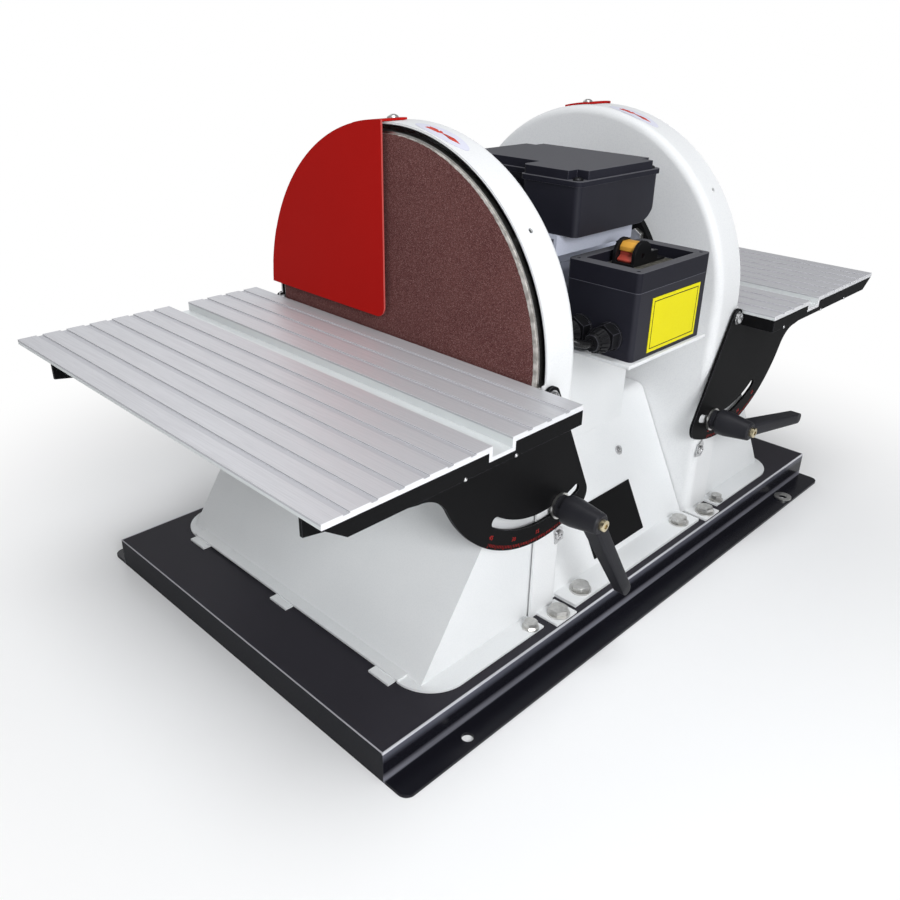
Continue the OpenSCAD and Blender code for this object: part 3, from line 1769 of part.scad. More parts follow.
// Section of the upturned band at a table end, cut back at its outer end and over the miter channel
module band_outline() {
  top = table_under - bolt_clear;
  end_x = table_out_x - band_end;
  slot_low = table_top - miter_d - miter_wall - bolt_clear;
  difference() {
    polygon([[table_in_x, shelf_under], [end_x - band_cut, shelf_under], [end_x, top], [table_in_x, top]]);
    rect([miter_x - miter_wall - bolt_clear, slot_low],
      [miter_x + miter_w + miter_wall + bolt_clear, table_top]);
  }
}

// Right front bracket: quadrant plate, shelf, flap at its inner end and band
module bracket() {
  difference() {
    union() {
      translate([pivot_x, 0, pivot_z])
        xz_slab(-bracket_out_y, -bracket_in_y)
          difference() {
            quadrant_outline();
            circle(pivot_d / 2 + run_clear);
            tilt_slot();
          }
      block([table_in_x, -band_out_y, shelf_under],
        [table_out_x - band_end - band_cut, -bracket_in_y, shelf_top]);
      block([table_in_x, -band_out_y, shelf_under],
        [table_in_x + bracket_t, -bracket_in_y, table_under - bolt_clear]);
      xz_slab(-band_out_y, -band_in_y)
        band_outline();
    }
    table_screw_places()
      translate([0, 0, -cut])
        cylinder(d = screw_d + bolt_clear + bolt_clear, h = bracket_t + cut + cut);
  }
}

module left_front_bracket() { color(black_paint) mirror([1, 0, 0]) bracket(); }
module left_rear_bracket() { color(black_paint) mirror([1, 0, 0]) mirror([0, 1, 0]) bracket(); }
module right_front_bracket() { color(black_paint) bracket(); }
module right_rear_bracket() { color(black_paint) mirror([0, 1, 0]) bracket(); }

// Place of a clamp lever on the front: side is 1 on the right and -1 on the left
module lever_place(side, deg) {
  translate([side * stud_x, -lever_y, stud_z])
    rotate([0, -deg, 0])
      children();
}

// Hub of a clamp lever along -Y: collar, barrel and taper
module lever_hub() {
  rotate([90, 0, 0])
    rotate_extrude()
      polygon([[0, 0], [lever_collar_d / 2, 0], [lever_collar_d / 2, lever_collar_l],
        [lever_hub_d / 2, lever_collar_l + lever_step], [lever_hub_d / 2, lever_barrel_l],
        [lever_end_d / 2, lever_hub_l - lever_step], [lever_end_d / 2 - lever_step, lever_hub_l],
        [0, lever_hub_l]]);
}

// Clamp lever along -Y, its arm down and leaning out
module lever() {
  difference() {
    union() {
      lever_hub();
      hull() {
        translate([0, -lever_root_y, 0])
          y_bar(lever_root_r, -lever_root_t / 2, lever_root_t / 2, $fn = 32);
        translate([0, -lever_tip_y, lever_tip_r - lever_l])
          y_bar(lever_tip_r, -lever_tip_t / 2, lever_tip_t / 2, $fn = 32);
      }
    }
    y_bar(stud_r + run_clear, -lever_bore_l, cut);
    y_bar(screw_d / 2 + seat_clear, -lever_hub_l - cut, -lever_bore_l);
  }
}

// Screw in the end of a lever hub
module lever_screw() {
  y_bar(screw_head_d / 2, -lever_hub_l - lever_screw_h, -lever_hub_l);
  y_bar(screw_d / 2, -lever_hub_l - lever_screw_h / 2, lever_screw_l - lever_hub_l);
}

module left_lever() { color(black_plastic) lever_place(-1, left_lever_deg) lever(); }
module left_lever_screw() { color(bolt_zinc) lever_place(-1, left_lever_deg) lever_screw(); }
module right_lever() { color(black_plastic) lever_place(1, right_lever_deg) lever(); }
module right_lever_screw() { color(bolt_zinc) lever_place(1, right_lever_deg) lever_screw(); }

base_pan();
bench_washer();
base_nuts();
base_bolts();
pedestal();
pan_head_screws();
rating_plate();
motor_foot();
motor_foot_bolts();
motor_body();
left_end_bell();
right_end_bell();
bearings();
stator();
flange_bolts();
left_housing();
right_housing();
left_shroud();
right_shroud();
left_guard();
right_guard();
guard_screws();
switch_bracket();
switch_box();
switch_box_lid();
switch_body();
switch_screws();
label_plate();
cable_glands();
motor_lead();
top_box_plate();
top_box();
top_box_lid();
top_box_screws();
capacitor();
pivot_bolts();
lock_studs();
rear_guide_bolts();
pointers();
shaft();
rotor();
left_disc();
right_disc();
left_abrasive();
right_abrasive();
set_screws();
left_table();
left_front_bracket();
left_rear_bracket();
left_table_screws();
right_table();
right_front_bracket();
right_rear_bracket();
right_table_screws();
left_lever();
left_lever_screw();
right_lever();
right_lever_screw();
switch_rocker();
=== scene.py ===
# %% [markdown]
# # A double-ended disc sander for the bench
#
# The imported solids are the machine's real shapes, and they stay where they are. This lesson gives
# them their finishes, rounds the edges that catch the light, and adds what is too fine for solids:
# screw heads, scale marks, stickers and the lead.

# %% Load the fixed frame
import json
import math

import bmesh
import bpy
import numpy
from mathutils import Matrix, Vector


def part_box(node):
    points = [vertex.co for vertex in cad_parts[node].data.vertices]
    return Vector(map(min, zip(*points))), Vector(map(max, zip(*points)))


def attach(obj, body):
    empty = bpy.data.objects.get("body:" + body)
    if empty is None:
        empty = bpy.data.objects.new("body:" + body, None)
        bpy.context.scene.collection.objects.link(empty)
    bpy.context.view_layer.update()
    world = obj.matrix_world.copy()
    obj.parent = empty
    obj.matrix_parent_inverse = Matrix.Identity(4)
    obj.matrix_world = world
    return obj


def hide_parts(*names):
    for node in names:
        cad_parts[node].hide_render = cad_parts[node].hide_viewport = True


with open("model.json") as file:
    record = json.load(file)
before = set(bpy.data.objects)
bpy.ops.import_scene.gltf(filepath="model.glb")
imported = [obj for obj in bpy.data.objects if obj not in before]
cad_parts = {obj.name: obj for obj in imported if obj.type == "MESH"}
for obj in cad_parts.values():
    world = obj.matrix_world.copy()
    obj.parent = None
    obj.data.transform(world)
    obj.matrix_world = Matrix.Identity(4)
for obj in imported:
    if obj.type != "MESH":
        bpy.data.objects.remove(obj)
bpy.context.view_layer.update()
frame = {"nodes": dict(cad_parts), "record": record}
nodes = frame["nodes"]
record = frame["record"]
bodies = record["behaviour"]["bodies"]
body_of = {node: body for body, members in bodies.items() for node in members}
slot_of = {part["node"]: part["material_slot"] for part in record["subparts"]}
MM = 0.001

# %% [markdown]
# ## Camera
#
# The photograph was taken close to the machine with a fairly wide lens, so parallel edges run
# together quickly. The place, turn and focal length below were fitted to known corners of the base,
# the tables and the discs. A camera could also be aimed with a Track To constraint, but a fitted
# matrix keeps the small roll of the picture.

# %% Place the camera
VIEW_TURN = math.radians(-46.0)
VIEW_RISE = math.radians(26.6)
VIEW_ROLL = math.radians(1.1)
VIEW_PLACE = Vector((-0.5944, -0.5043, 0.4645))
VIEW_LENS = 34.356


def show(obj):
    """Puts a new object into the scene."""
    bpy.context.scene.collection.objects.link(obj)
    return obj


def camera_matrix(turn, rise, roll, place):
    """The matrix of a camera that looks back along its turn and rise, rolled about its own axis."""
    level_share = math.cos(rise)
    back = Vector((math.sin(turn) * level_share, -math.cos(turn) * level_share, math.sin(rise)))
    right = (-back).cross(Vector((0, 0, 1))).normalized()
    up = right.cross(-back)
    level = right * math.cos(roll) + up * math.sin(roll)
    upright = up * math.cos(roll) - right * math.sin(roll)
    matrix = Matrix((level, upright, back)).transposed().to_4x4()
    matrix.translation = place
    return matrix


camera = show(bpy.data.objects.new("camera", bpy.data.cameras.new("camera")))
camera.data.lens = VIEW_LENS
camera.data.sensor_width = 36
camera.data.clip_start = 0.01
camera.matrix_world = camera_matrix(VIEW_TURN, VIEW_RISE, VIEW_ROLL, VIEW_PLACE)
bpy.context.scene.camera = camera
print("camera at", [round(v, 3) for v in camera.matrix_world.translation])

# %% [markdown]
# ## Motor lead
#
# A short black lead joins the switch box to the box on top of the motor. It is stiff for its
# length, so it leaves each gland straight, rises in one loose bow, and needs no support between its
# ends. The route is the one that the solid follows. A curve with a round bevel keeps it a true
# tube, and its own line gives the length.

# %% Lay the lead
LEAD_WIDTH = 6 * MM
LEAD_ROUTE = [
    (-66, -150, 247), (-76, -150, 247), (-84, -149, 248), (-91, -144, 251),
    (-95, -135, 258), (-97, -125, 270), (-97, -115, 285), (-97, -104, 300),
    (-96, -91, 314), (-93, -77, 325), (-88, -62, 333), (-82, -47, 337),
    (-76, -36, 338), (-68, -31, 338), (-60, -30, 338), (-48, -30, 338),
]  # fmt: skip


def lay_lead(name, route, width):
    """A round curve through the points of a route.

    Its thickness is the radius of its points, so that its box is true too."""
    data = bpy.data.curves.new(name, "CURVE")
    data.dimensions = "3D"
    data.bevel_depth = 1
    data.bevel_resolution = 6
    data.resolution_u = 10
    data.use_fill_caps = True
    spline = data.splines.new("BEZIER")
    spline.bezier_points.add(len(route) - 1)
    for point, place in zip(spline.bezier_points, route):
        point.co = Vector(place) * MM
        point.radius = width / 2
        point.handle_left_type = point.handle_right_type = "AUTO"
    return show(bpy.data.objects.new(name, data))


lead = lay_lead("motor_lead_bow", LEAD_ROUTE, LEAD_WIDTH)
bpy.context.view_layer.update()
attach(lead, body_of["motor_lead"])
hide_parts("motor_lead")

# %% [markdown]
# ## Writing node maths as Python
#
# Materials and Geometry Nodes are both graphs of nodes. Wiring them by hand is slow to read, so one
# class wraps a socket and lets numbers be added and multiplied like any Python values. A second
# class holds the tree that is being built, and makes every other node through one method.


# %% A socket that can be calculated with
class Wire:
    """One output socket of a tree, with the operators that its maths needs."""

    def __init__(self, graph, socket):
        self.graph = graph
        self.socket = socket

    def math(self, operation, a, b=0.0):
        return self.graph.out("ShaderNodeMath", {0: a, 1: b}, operation=operation)

    def __add__(self, other):
        return self.math("ADD", self, other)

    def __radd__(self, other):
        return self.math("ADD", other, self)

    def __sub__(self, other):
        return self.math("SUBTRACT", self, other)

    def __rsub__(self, other):
        return self.math("SUBTRACT", other, self)

    def __mul__(self, other):
        return self.math("MULTIPLY", self, other)

    def __rmul__(self, other):
        return self.math("MULTIPLY", other, self)

    def __truediv__(self, other):
        return self.math("DIVIDE", self, other)

    def size(self):
        """The value without its sign."""
        return self.math("ABSOLUTE", self)

    def ramp(self, low, high, start=0.0, end=1.0):
        """Goes smoothly from start to end while this value goes from low to high."""
        sockets = {"Value": self, "From Min": low, "From Max": high, "To Min": start, "To Max": end}
        kind = {"interpolation_type": "SMOOTHSTEP"}
        return self.graph.out("ShaderNodeMapRange", sockets, "Result", **kind)


class Graph:
    """A node tree in the making."""

    def __init__(self, tree):
        self.tree = tree

    def node(self, kind, sockets=None, **settings):
        """Adds a node: its settings first, then a value or a link for each socket."""
        made = self.tree.nodes.new(kind)
        for name, value in settings.items():
            setattr(made, name, value)
        for name, value in (sockets or {}).items():
            self.plug(made.inputs[name], value)
        return made

    def plug(self, socket, value):
        """Links a wire to a socket, or writes a plain value into it."""
        if isinstance(value, Wire):
            self.tree.links.new(value.socket, socket)
        elif isinstance(value, (tuple, list)) and socket.type == "RGBA" and len(value) == 3:
            socket.default_value = (*value, 1)
        else:
            socket.default_value = value

    def wire(self, node, output=0):
        return Wire(self, node.outputs[output])

    def out(self, kind, sockets=None, output=0, **settings):
        """Adds a node, and gives one of its outputs."""
        return self.wire(self.node(kind, sockets, **settings), output)

    def split(self, vector):
        """The three numbers of a vector or colour."""
        node = self.node("ShaderNodeSeparateXYZ", {0: vector})
        return [Wire(self, out) for out in node.outputs]

    def vector(self, x=0.0, y=0.0, z=0.0):
        """A vector from three numbers."""
        return self.out("ShaderNodeCombineXYZ", {0: x, 1: y, 2: z})


print("node helpers ready")

# %% [markdown]
# ## Materials as a class
#
# Every finish is a Principled shader with a few procedural patterns in front of it. The patterns
# read Object coordinates, so they stay put on a part that turns. A finish enters a table under its
# name, and later cells look it up there.

# %% A finish
finishes = {}


class Finish(Graph):
    """One procedural material, built around a Principled shader."""

    def __init__(self, name, **sockets):
        material = bpy.data.materials.new(name)
        material.use_nodes = True
        finishes[name] = material
        super().__init__(material.node_tree)
        self.shader = next(n for n in self.tree.nodes if n.type == "BSDF_PRINCIPLED")
        self.place = self.out("ShaderNodeTexCoord", output="Object")
        self.set(**sockets)

    def set(self, **sockets):
        """Sets sockets of the shader, named with underscores for spaces."""
        for name, value in sockets.items():
            self.plug(self.shader.inputs[name.replace("_", " ")], value)

    def stretched(self, stretch):
        """Object coordinates scaled along each axis, for a pattern that runs one way."""
        return self.out("ShaderNodeMapping", {"Vector": self.place, "Scale": stretch})

    def noise(self, scale, detail=2.0, rough=0.5, along=None):
        place = along or self.place
        sockets = {"Vector": place, "Scale": scale, "Detail": detail, "Roughness": rough}
        return self.out("ShaderNodeTexNoise", sockets)

    def cells(self, scale, output="Distance"):
        return self.out("ShaderNodeTexVoronoi", {"Vector": self.place, "Scale": scale}, output)

    def mix(self, share, a, b):
        """Colour a where share is 0, and colour b where it is 1."""
        return self.out("ShaderNodeMix", {"Factor": share, 6: a, 7: b}, 2, data_type="RGBA")

    def bump(self, height, depth, strength=1.0):
        """A surface texture with a depth in millimetres."""
        sockets = {"Height": height, "Distance": depth * MM, "Strength": strength}
        self.set(Normal=self.out("ShaderNodeBump", sockets, "Normal"))


def paint(red, green, blue):
    """A colour given as it looks on screen, from 0 to 255, in the linear numbers of shaders."""
    linear = []
    for value in (red, green, blue):
        share = value / 255
        linear.append(share / 12.92 if share <= 0.04045 else ((share + 0.055) / 1.055) ** 2.4)
    return tuple(linear)


print("finish class ready")

# %% [markdown]
# ## Stage and light
#
# The machine stands on a plain pale floor under broad, soft lamps, as in a catalogue studio. The
# floor takes the shadow near the machine, and fades to the white of the backdrop further out. Only
# the camera sees a white world: the light and the reflections on the machine come from a plain grey
# one, so black paint stays black. The main lamp hangs overhead. A smaller one stands near the
# camera and lights the fronts, and two weak ones lift the left end and the back.

# %% Floor, backdrop and lamps
FLOOR_HALF = 6.0
FLOOR_FADE = (0.28, 0.7)
FLOOR_COLOUR = (0.86, 0.86, 0.86)
WORLD_COLOUR = (0.97, 0.98, 1.0)
WORLD_LIGHT = 0.35
WHITE = {"Color": (1, 1, 1), "Strength": 1.0}
LAMP_COLOUR = (0.965, 0.98, 1.0)
LAMPS = [
    ("lamp_top", (-0.2, -0.3, 2.3), (0, 0, 0.1), 1.2, 19),
    ("lamp_front", (-0.62, -1.1, 0.72), (0, 0, 0.15), 0.5, 11),
    ("lamp_left", (-2.3, 0.3, 1.3), (0, 0, 0.2), 0.9, 1),
    ("lamp_back", (0.8, 2.2, 1.6), (0, 0, 0.2), 1.2, 6),
]


def seen_directly(graph):
    """A share that is 1 for rays that come straight from the camera, also through clear parts."""
    path = graph.node("ShaderNodeLightPath")
    straight, clear = (graph.wire(path, f"Is {kind} Ray") for kind in ("Camera", "Transmission"))
    return straight.math("MAXIMUM", straight, clear)


def make_world():
    world = bpy.data.worlds.new("studio")
    world.use_nodes = True
    bpy.context.scene.world = world
    graph = Graph(world.node_tree)
    graph.tree.nodes.clear()
    light = graph.out("ShaderNodeBackground", {"Color": WORLD_COLOUR, "Strength": WORLD_LIGHT})
    white = graph.out("ShaderNodeBackground", WHITE)
    both = graph.out("ShaderNodeMixShader", {0: seen_directly(graph), 1: light, 2: white})
    graph.node("ShaderNodeOutputWorld", {"Surface": both})


def make_floor():
    """A square floor whose middle takes shadows and whose rim is the white of the backdrop."""
    mesh = bpy.data.meshes.new("floor")
    corners = [(x * FLOOR_HALF, y * FLOOR_HALF, 0) for x, y in ((-1, -1), (1, -1), (1, 1), (-1, 1))]
    mesh.from_pydata(corners, [], [(0, 1, 2, 3)])
    finish = Finish("floor_paper", Base_Color=FLOOR_COLOUR, Roughness=0.9)
    away = finish.out("ShaderNodeVectorMath", {0: finish.place}, "Value", operation="LENGTH")
    share = away.ramp(*FLOOR_FADE) * seen_directly(finish)
    white = finish.out("ShaderNodeEmission", WHITE)
    both = finish.out("ShaderNodeMixShader", {0: share, 1: finish.wire(finish.shader), 2: white})
    end = next(n for n in finish.tree.nodes if n.type == "OUTPUT_MATERIAL")
    finish.plug(end.inputs["Surface"], both)
    mesh.materials.append(finishes["floor_paper"])
    show(bpy.data.objects.new("floor", mesh))


def make_lamp(name, place, target, size, watts):
    data = bpy.data.lights.new(name, "AREA")
    data.shape = "DISK"
    data.size = size
    data.energy = watts
    data.color = LAMP_COLOUR
    lamp = show(bpy.data.objects.new(name, data))
    lamp.location = place
    lamp.rotation_euler = (Vector(target) - Vector(place)).to_track_quat("-Z", "Y").to_euler()


bpy.context.scene.view_settings.view_transform = "Standard"
make_world()
make_floor()
for lamp in LAMPS:
    make_lamp(*lamp)
print("stage:", len(LAMPS), "lamps")

# %% [markdown]
# ## Painted sheet metal
#
# Powder coat is a baked plastic skin. It flows into a fine orange-peel texture, so its highlights
# are broad and slightly broken. A little noise in the bump gives that texture, and a weaker, larger
# noise keeps the big panels from looking like flat fills.


# %% Paints
def powder_coat(name, colour, shade, rough, depth, gloss):
    """Paint with a fine skin texture: its colour varies a little towards a shade."""
    finish = Finish(name, Specular_IOR_Level=gloss)
    clouds = finish.noise(9.0, 3.0).ramp(0.3, 0.7)
    grain = finish.noise(900.0)
    share = clouds * 0.6 + grain.ramp(0.4, 0.7) * 0.4
    finish.set(Base_Color=finish.mix(share, paint(*colour), paint(*shade)))
    finish.set(Roughness=rough + (grain - 0.5) * 0.12)
    finish.bump(grain + finish.noise(320.0, 1.0) * 0.7, depth)


PAINTS = {
    "white_powder": ((232, 233, 233), (224, 226, 227), 0.46, 0.06, 0.4),
    "guard_red": ((180, 24, 20), (176, 22, 18), 0.55, 0.01, 0.05),
    "bracket_black": ((20, 20, 21), (16, 16, 17), 0.45, 0.03, 0.04),
    "motor_grey": ((196, 200, 214), (184, 188, 203), 0.42, 0.05, 0.3),
    "plate_black": ((14, 14, 15), (11, 11, 12), 0.33, 0.01, 0.12),
    "plate_yellow": ((226, 216, 24), (223, 210, 20), 0.5, 0.01, 0.1),
    "sticker_paper": ((222, 222, 236), (217, 218, 232), 0.4, 0.01, 0.3),
    "arrow_ink": ((206, 74, 56), (198, 66, 50), 0.5, 0.01, 0.2),
    "scale_ink": ((196, 40, 34), (182, 34, 30), 0.5, 0.01, 0.2),
    # A painted highlight colour for the cut edges of the guards.
    "guard_edge": ((206, 92, 86), (196, 82, 78), 0.4, 0.01, 0.3),
    # A painted highlight colour for the rounded edges of the table brackets.
    "bracket_edge": ((112, 112, 118), (96, 96, 102), 0.35, 0.01, 0.3),
}
for name, values in PAINTS.items():
    powder_coat(name, *values)
print(len(PAINTS), "paints done")

# %% [markdown]
# ## Two-faced paints
#
# Two painted parts change along their height or depth. The top of the base is a dull charcoal,
# while its walls are smooth and shiny, with painted highlights along its bends. The disc housings
# are white outside, and dark inside, which is painted shade for the deep bowl. A ramp on the
# coordinates draws each border, which is exact and needs no second material slot.

# %% Base and housings
SPINDLE_Z = 0.237
BASE_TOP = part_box("base_pan")[1].z
BASE_HALF_X = 320.5 * MM
BASE_HALF_Y = 183 * MM
HOUSING_INNER = 157.3 * MM
HOUSING_FLOOR = 116 * MM


def base_paint():
    """A dull top, shiny walls, and painted highlights: pale lines along the top edges and the lower
    bend, and a painted reflection on the upper walls.
    """
    finish = Finish("base_black", Specular_IOR_Level=0.15)
    x, y, z = finish.split(finish.place)
    over_top, past_end, past_wall = z - BASE_TOP, x.size() - BASE_HALF_X, y.size() - BASE_HALF_Y
    top = over_top.ramp(-0.6 * MM, -0.1 * MM)
    # Painted highlights: pale lines along the top edges of the walls and the ends.
    front_highlight = past_wall.ramp(-1.3 * MM, -0.8 * MM) * over_top.ramp(-2.2 * MM, -1.2 * MM)
    end_highlight = past_end.ramp(-0.9 * MM, -0.5 * MM) * over_top.ramp(-1 * MM, -0.6 * MM)
    end = past_end.ramp(-0.4 * MM, -0.2 * MM)
    wall = past_wall.ramp(-0.4 * MM, -0.2 * MM)
    # A painted reflection on the upper walls, and a painted highlight at the lower bend.
    upper_wall_reflection = wall * over_top.ramp(-11 * MM, -2 * MM)
    bend = wall * z.ramp(9 * MM, 3.2 * MM) * past_wall.ramp(2.2 * MM, 0.6 * MM)
    streaks = finish.noise(60.0, 2.0, 0.5, finish.stretched((0.08, 1, 1))).ramp(0.3, 0.7, 0.55, 1.0)
    grain = finish.noise(700.0)
    paint_mix = finish.mix(top, paint(22, 22, 28), paint(46, 44, 50))
    paint_mix = finish.mix(upper_wall_reflection * streaks * 0.6, paint_mix, paint(120, 121, 134))
    paint_mix = finish.mix(bend * streaks * 0.7, paint_mix, paint(150, 150, 160))
    paint_mix = finish.mix(front_highlight * streaks, paint_mix, paint(225, 225, 230))
    finish.set(Base_Color=finish.mix(end_highlight * 0.8, paint_mix, paint(190, 190, 196)))
    finish.set(Roughness=0.24 + top * 0.3 + end * 0.3 + (grain - 0.5) * 0.1)
    finish.bump(grain, 0.02)


def housing_paint():
    """White outside, and dark between the rim and the floor of the bowl, as painted shade."""
    finish = Finish("housing_white", Specular_IOR_Level=0.4)
    x, y, z = finish.split(finish.place)
    up = z - SPINDLE_Z
    rim = x.math("SQRT", y * y + up * up).ramp(HOUSING_INNER + 0.1 * MM, HOUSING_INNER)
    # Painted shade: the inside of the bowl, between the rim and its floor, is painted dark for the
    # little light that reaches it.
    inside = rim * x.size().ramp(HOUSING_FLOOR, HOUSING_FLOOR + 0.4 * MM)
    grain = finish.noise(900.0)
    white = finish.mix(grain.ramp(0.4, 0.7), paint(232, 233, 233), paint(227, 228, 229))
    finish.set(Base_Color=finish.mix(inside, white, paint(14, 14, 14)))
    finish.set(Roughness=0.46 + inside * 0.3 + (grain - 0.5) * 0.12)
    finish.bump(grain + finish.noise(320.0, 1.0) * 0.7, 0.06)


base_paint()
housing_paint()
print("base top at", round(BASE_TOP, 4))

# %% [markdown]
# ## Metals
#
# The tables are extruded aluminium, drawn through a die along their length, so the marks of the die
# run that way. Stretching the noise along one axis gives those streaks. Zinc plating is duller and
# a little blotchy, and the turned rim of the disc has marks that follow the turning.


# %% Metals
def streaked_metal(name, colour, shade, rough, stretch, streak, metallic=1.0):
    """Metal with fine marks that run along the axis where stretch is small."""
    finish = Finish(name, Metallic=metallic)
    lines = finish.noise(streak, 3.0, 0.6, finish.stretched(stretch)).ramp(0.35, 0.65)
    patches = finish.noise(14.0).ramp(0.35, 0.65)
    share = lines * 0.6 + patches * 0.4
    finish.set(Base_Color=finish.mix(share, paint(*colour), paint(*shade)))
    finish.set(Roughness=rough + (lines - 0.5) * 0.1)
    finish.bump(lines, 0.01)


EVEN = (1, 1, 1)
TABLE_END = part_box("left_table")[1].y - 0.3 * MM
TABLE_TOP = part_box("left_table")[1].z


def table_metal():
    """Dull extruded aluminium. Its two cut ends are painted bright as a painted highlight, the
    floors of the grooves darker as painted shade, and everything deeper, the slot included, lighter
    as painted light.
    """
    finish = Finish("table_aluminium", Metallic=0.5)
    _, y, z = finish.split(finish.place)
    # Painted highlight: the two cut ends are painted bright.
    cut = y.size().ramp(TABLE_END - 0.1 * MM, TABLE_END)
    lines = finish.noise(1500.0, 2.0, 0.6, finish.stretched((1, 0.02, 1))).ramp(0.3, 0.7)
    low = TABLE_TOP - z
    # Painted shade: the floors of the grooves are painted darker.
    groove_shade = low.ramp(0.3 * MM, 0.8 * MM) * low.ramp(1.6 * MM, 1.2 * MM)
    grey = finish.mix(lines, paint(212, 212, 215), paint(204, 204, 207))
    grey = finish.mix(groove_shade, grey, paint(196, 196, 200))
    # Painted light: everything more than 1.8 mm below the top, the slot walls and floor included,
    # is painted lighter.
    grey = finish.mix(low.ramp(1.4 * MM, 1.8 * MM), grey, paint(228, 231, 231))
    finish.set(Base_Color=finish.mix(cut, grey, paint(242, 242, 244)))
    finish.set(Roughness=0.52 + (lines - 0.5) * 0.05)


METALS = {
    # A painted highlight colour for the rounded edges of the left table.
    "table_edge": ((244, 244, 246), (236, 236, 238), 0.5, EVEN, 300.0, 0.7),
    "disc_aluminium": ((205, 204, 200), (180, 179, 174), 0.34, (0.2, 1, 1), 500.0),
    "zinc_plate": ((216, 215, 212), (192, 191, 188), 0.34, EVEN, 260.0),
    "bright_steel": ((214, 214, 214), (194, 194, 195), 0.27, EVEN, 300.0),
    "yellow_zinc": ((214, 202, 170), (196, 182, 150), 0.3, EVEN, 300.0),
    "dark_steel": ((60, 60, 62), (46, 46, 48), 0.4, EVEN, 300.0),
    "core_iron": ((120, 120, 122), (100, 100, 103), 0.45, (1, 0.1, 0.1), 600.0),
    "winding_copper": ((176, 110, 64), (150, 88, 48), 0.4, (1, 0.1, 1), 500.0),
}
table_metal()
for name, values in METALS.items():
    streaked_metal(name, *values)
print("metals done")

# %% [markdown]
# ## Abrasive
#
# Abrasive cloth is a field of sharp brown grains in resin. Each Voronoi cell stands for a grain:
# its random colour picks a light or a dark one, and its distance field gives the grain a rounded
# top in the bump. The cloth is stuck on a little off the middle, so a crescent of bare metal shows
# on one side, with a ragged, worn border.

# %% Abrasive
GRAIN_SCALE = 2500.0
CLOTH_RADIUS = 149.8 * MM
CLOTH_SHIFT = (2.6 * MM, 0.8 * MM)


def abrasive_grit():
    finish = Finish("abrasive_grit", Specular_IOR_Level=0.15)
    _, y, z = finish.split(finish.place)
    across = y - CLOTH_SHIFT[0]
    up = z - (SPINDLE_Z + CLOTH_SHIFT[1])
    ragged = (finish.noise(260.0) - 0.5) * (1.2 * MM)
    away = y.math("SQRT", across * across + up * up) + ragged
    bare = away.ramp(CLOTH_RADIUS - 0.2 * MM, CLOTH_RADIUS + 0.2 * MM)
    chance = finish.split(finish.cells(GRAIN_SCALE, "Color"))[0]
    drift = finish.noise(18.0, 3.0).ramp(0.3, 0.7)
    body = finish.mix(drift, paint(104, 65, 63), paint(112, 72, 69))
    dark = finish.mix(chance.ramp(0.5, 0.0), body, paint(68, 39, 38))
    cloth = finish.mix(chance.ramp(0.82, 1.0), dark, paint(152, 114, 110))
    patches = finish.noise(150.0).ramp(0.35, 0.65)
    worn = finish.mix(patches, paint(208, 204, 198), paint(150, 146, 140))
    finish.set(Base_Color=finish.mix(bare, cloth, worn))
    finish.set(Roughness=0.85 - bare * 0.35)
    finish.bump(1 - finish.cells(GRAIN_SCALE), 0.15, 0.5)


abrasive_grit()
print("abrasive done")

# %% [markdown]
# ## Plastics and rubber
#
# The switch box, its lid, the top box and the levers are moulded in black plastic. The tool's
# surface is spark-eroded, which leaves a fine, even grain that scatters the highlight. Inside the
# sunken lid the floor is a rough grey. The rocker is smooth: amber on its cap and red below.


# %% Plastics
def level_faces(finish, levels):
    """A share that is 1 on the flat tops at some heights."""
    z = finish.split(finish.place)[2]
    first, *others = [(z - level).size().ramp(0.45 * MM, 0.15 * MM) for level in levels]
    for share in others:
        first = first.math("MAXIMUM", first, share)
    return first


def moulded(name, colour, rough, depth, size, gloss, tops=()):
    """Grained plastic, whose flat tops at some heights are painted lighter as a painted highlight.
    """
    finish = Finish(name, Specular_IOR_Level=gloss)
    grain = finish.noise(size)
    colour = paint(*colour)
    lighter = tuple(min(1.0, value * 1.25) for value in colour)
    body = finish.mix(finish.noise(16.0).ramp(0.3, 0.7), colour, lighter)
    rough = rough + (grain - 0.5) * 0.2
    if tops:
        flat = level_faces(finish, tops)
        # Painted highlight: flat tops painted lighter, with a thin strip at the top of the walls
        # under them.
        body = finish.mix(flat, body, paint(*BOX_LIT_TOP))
        rough = rough + flat * 0.25
    finish.set(Base_Color=body, Roughness=rough)
    finish.bump(grain, depth)


BOX_BLACK = (30, 30, 38)
# The painted highlight colour for the flat tops of the boxes.
BOX_LIT_TOP = (89, 89, 93)
TOP_LID_LEVELS = (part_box("top_box_lid")[1].z, 358.3 * MM)
SWITCH_LID_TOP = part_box("switch_box_lid")[1].z
PLASTICS = {
    "box_plastic": (BOX_BLACK, 0.42, 0.05, 1100.0, 0.22),
    "top_lid_plastic": (BOX_BLACK, 0.45, 0.05, 1100.0, 0.1, TOP_LID_LEVELS),
    # A painted highlight colour for the rounded edges of the boxes and glands.
    "box_edge": ((84, 84, 92), 0.4, 0.03, 1100.0, 0.3),
    "switch_plastic": ((18, 18, 20), 0.4, 0.03, 1100.0, 0.22),
    "lever_plastic": ((33, 33, 37), 0.45, 0.08, 900.0, 0.2),
    "lead_rubber": ((12, 12, 13), 0.28, 0.01, 700.0, 0.3),
}
for name, values in PLASTICS.items():
    moulded(name, *values)

LID_FLOOR = 291 * MM
LID_FLOOR_HALF = (39.5 * MM, 24.5 * MM)
LID_MIDDLE_Y = -137.5 * MM


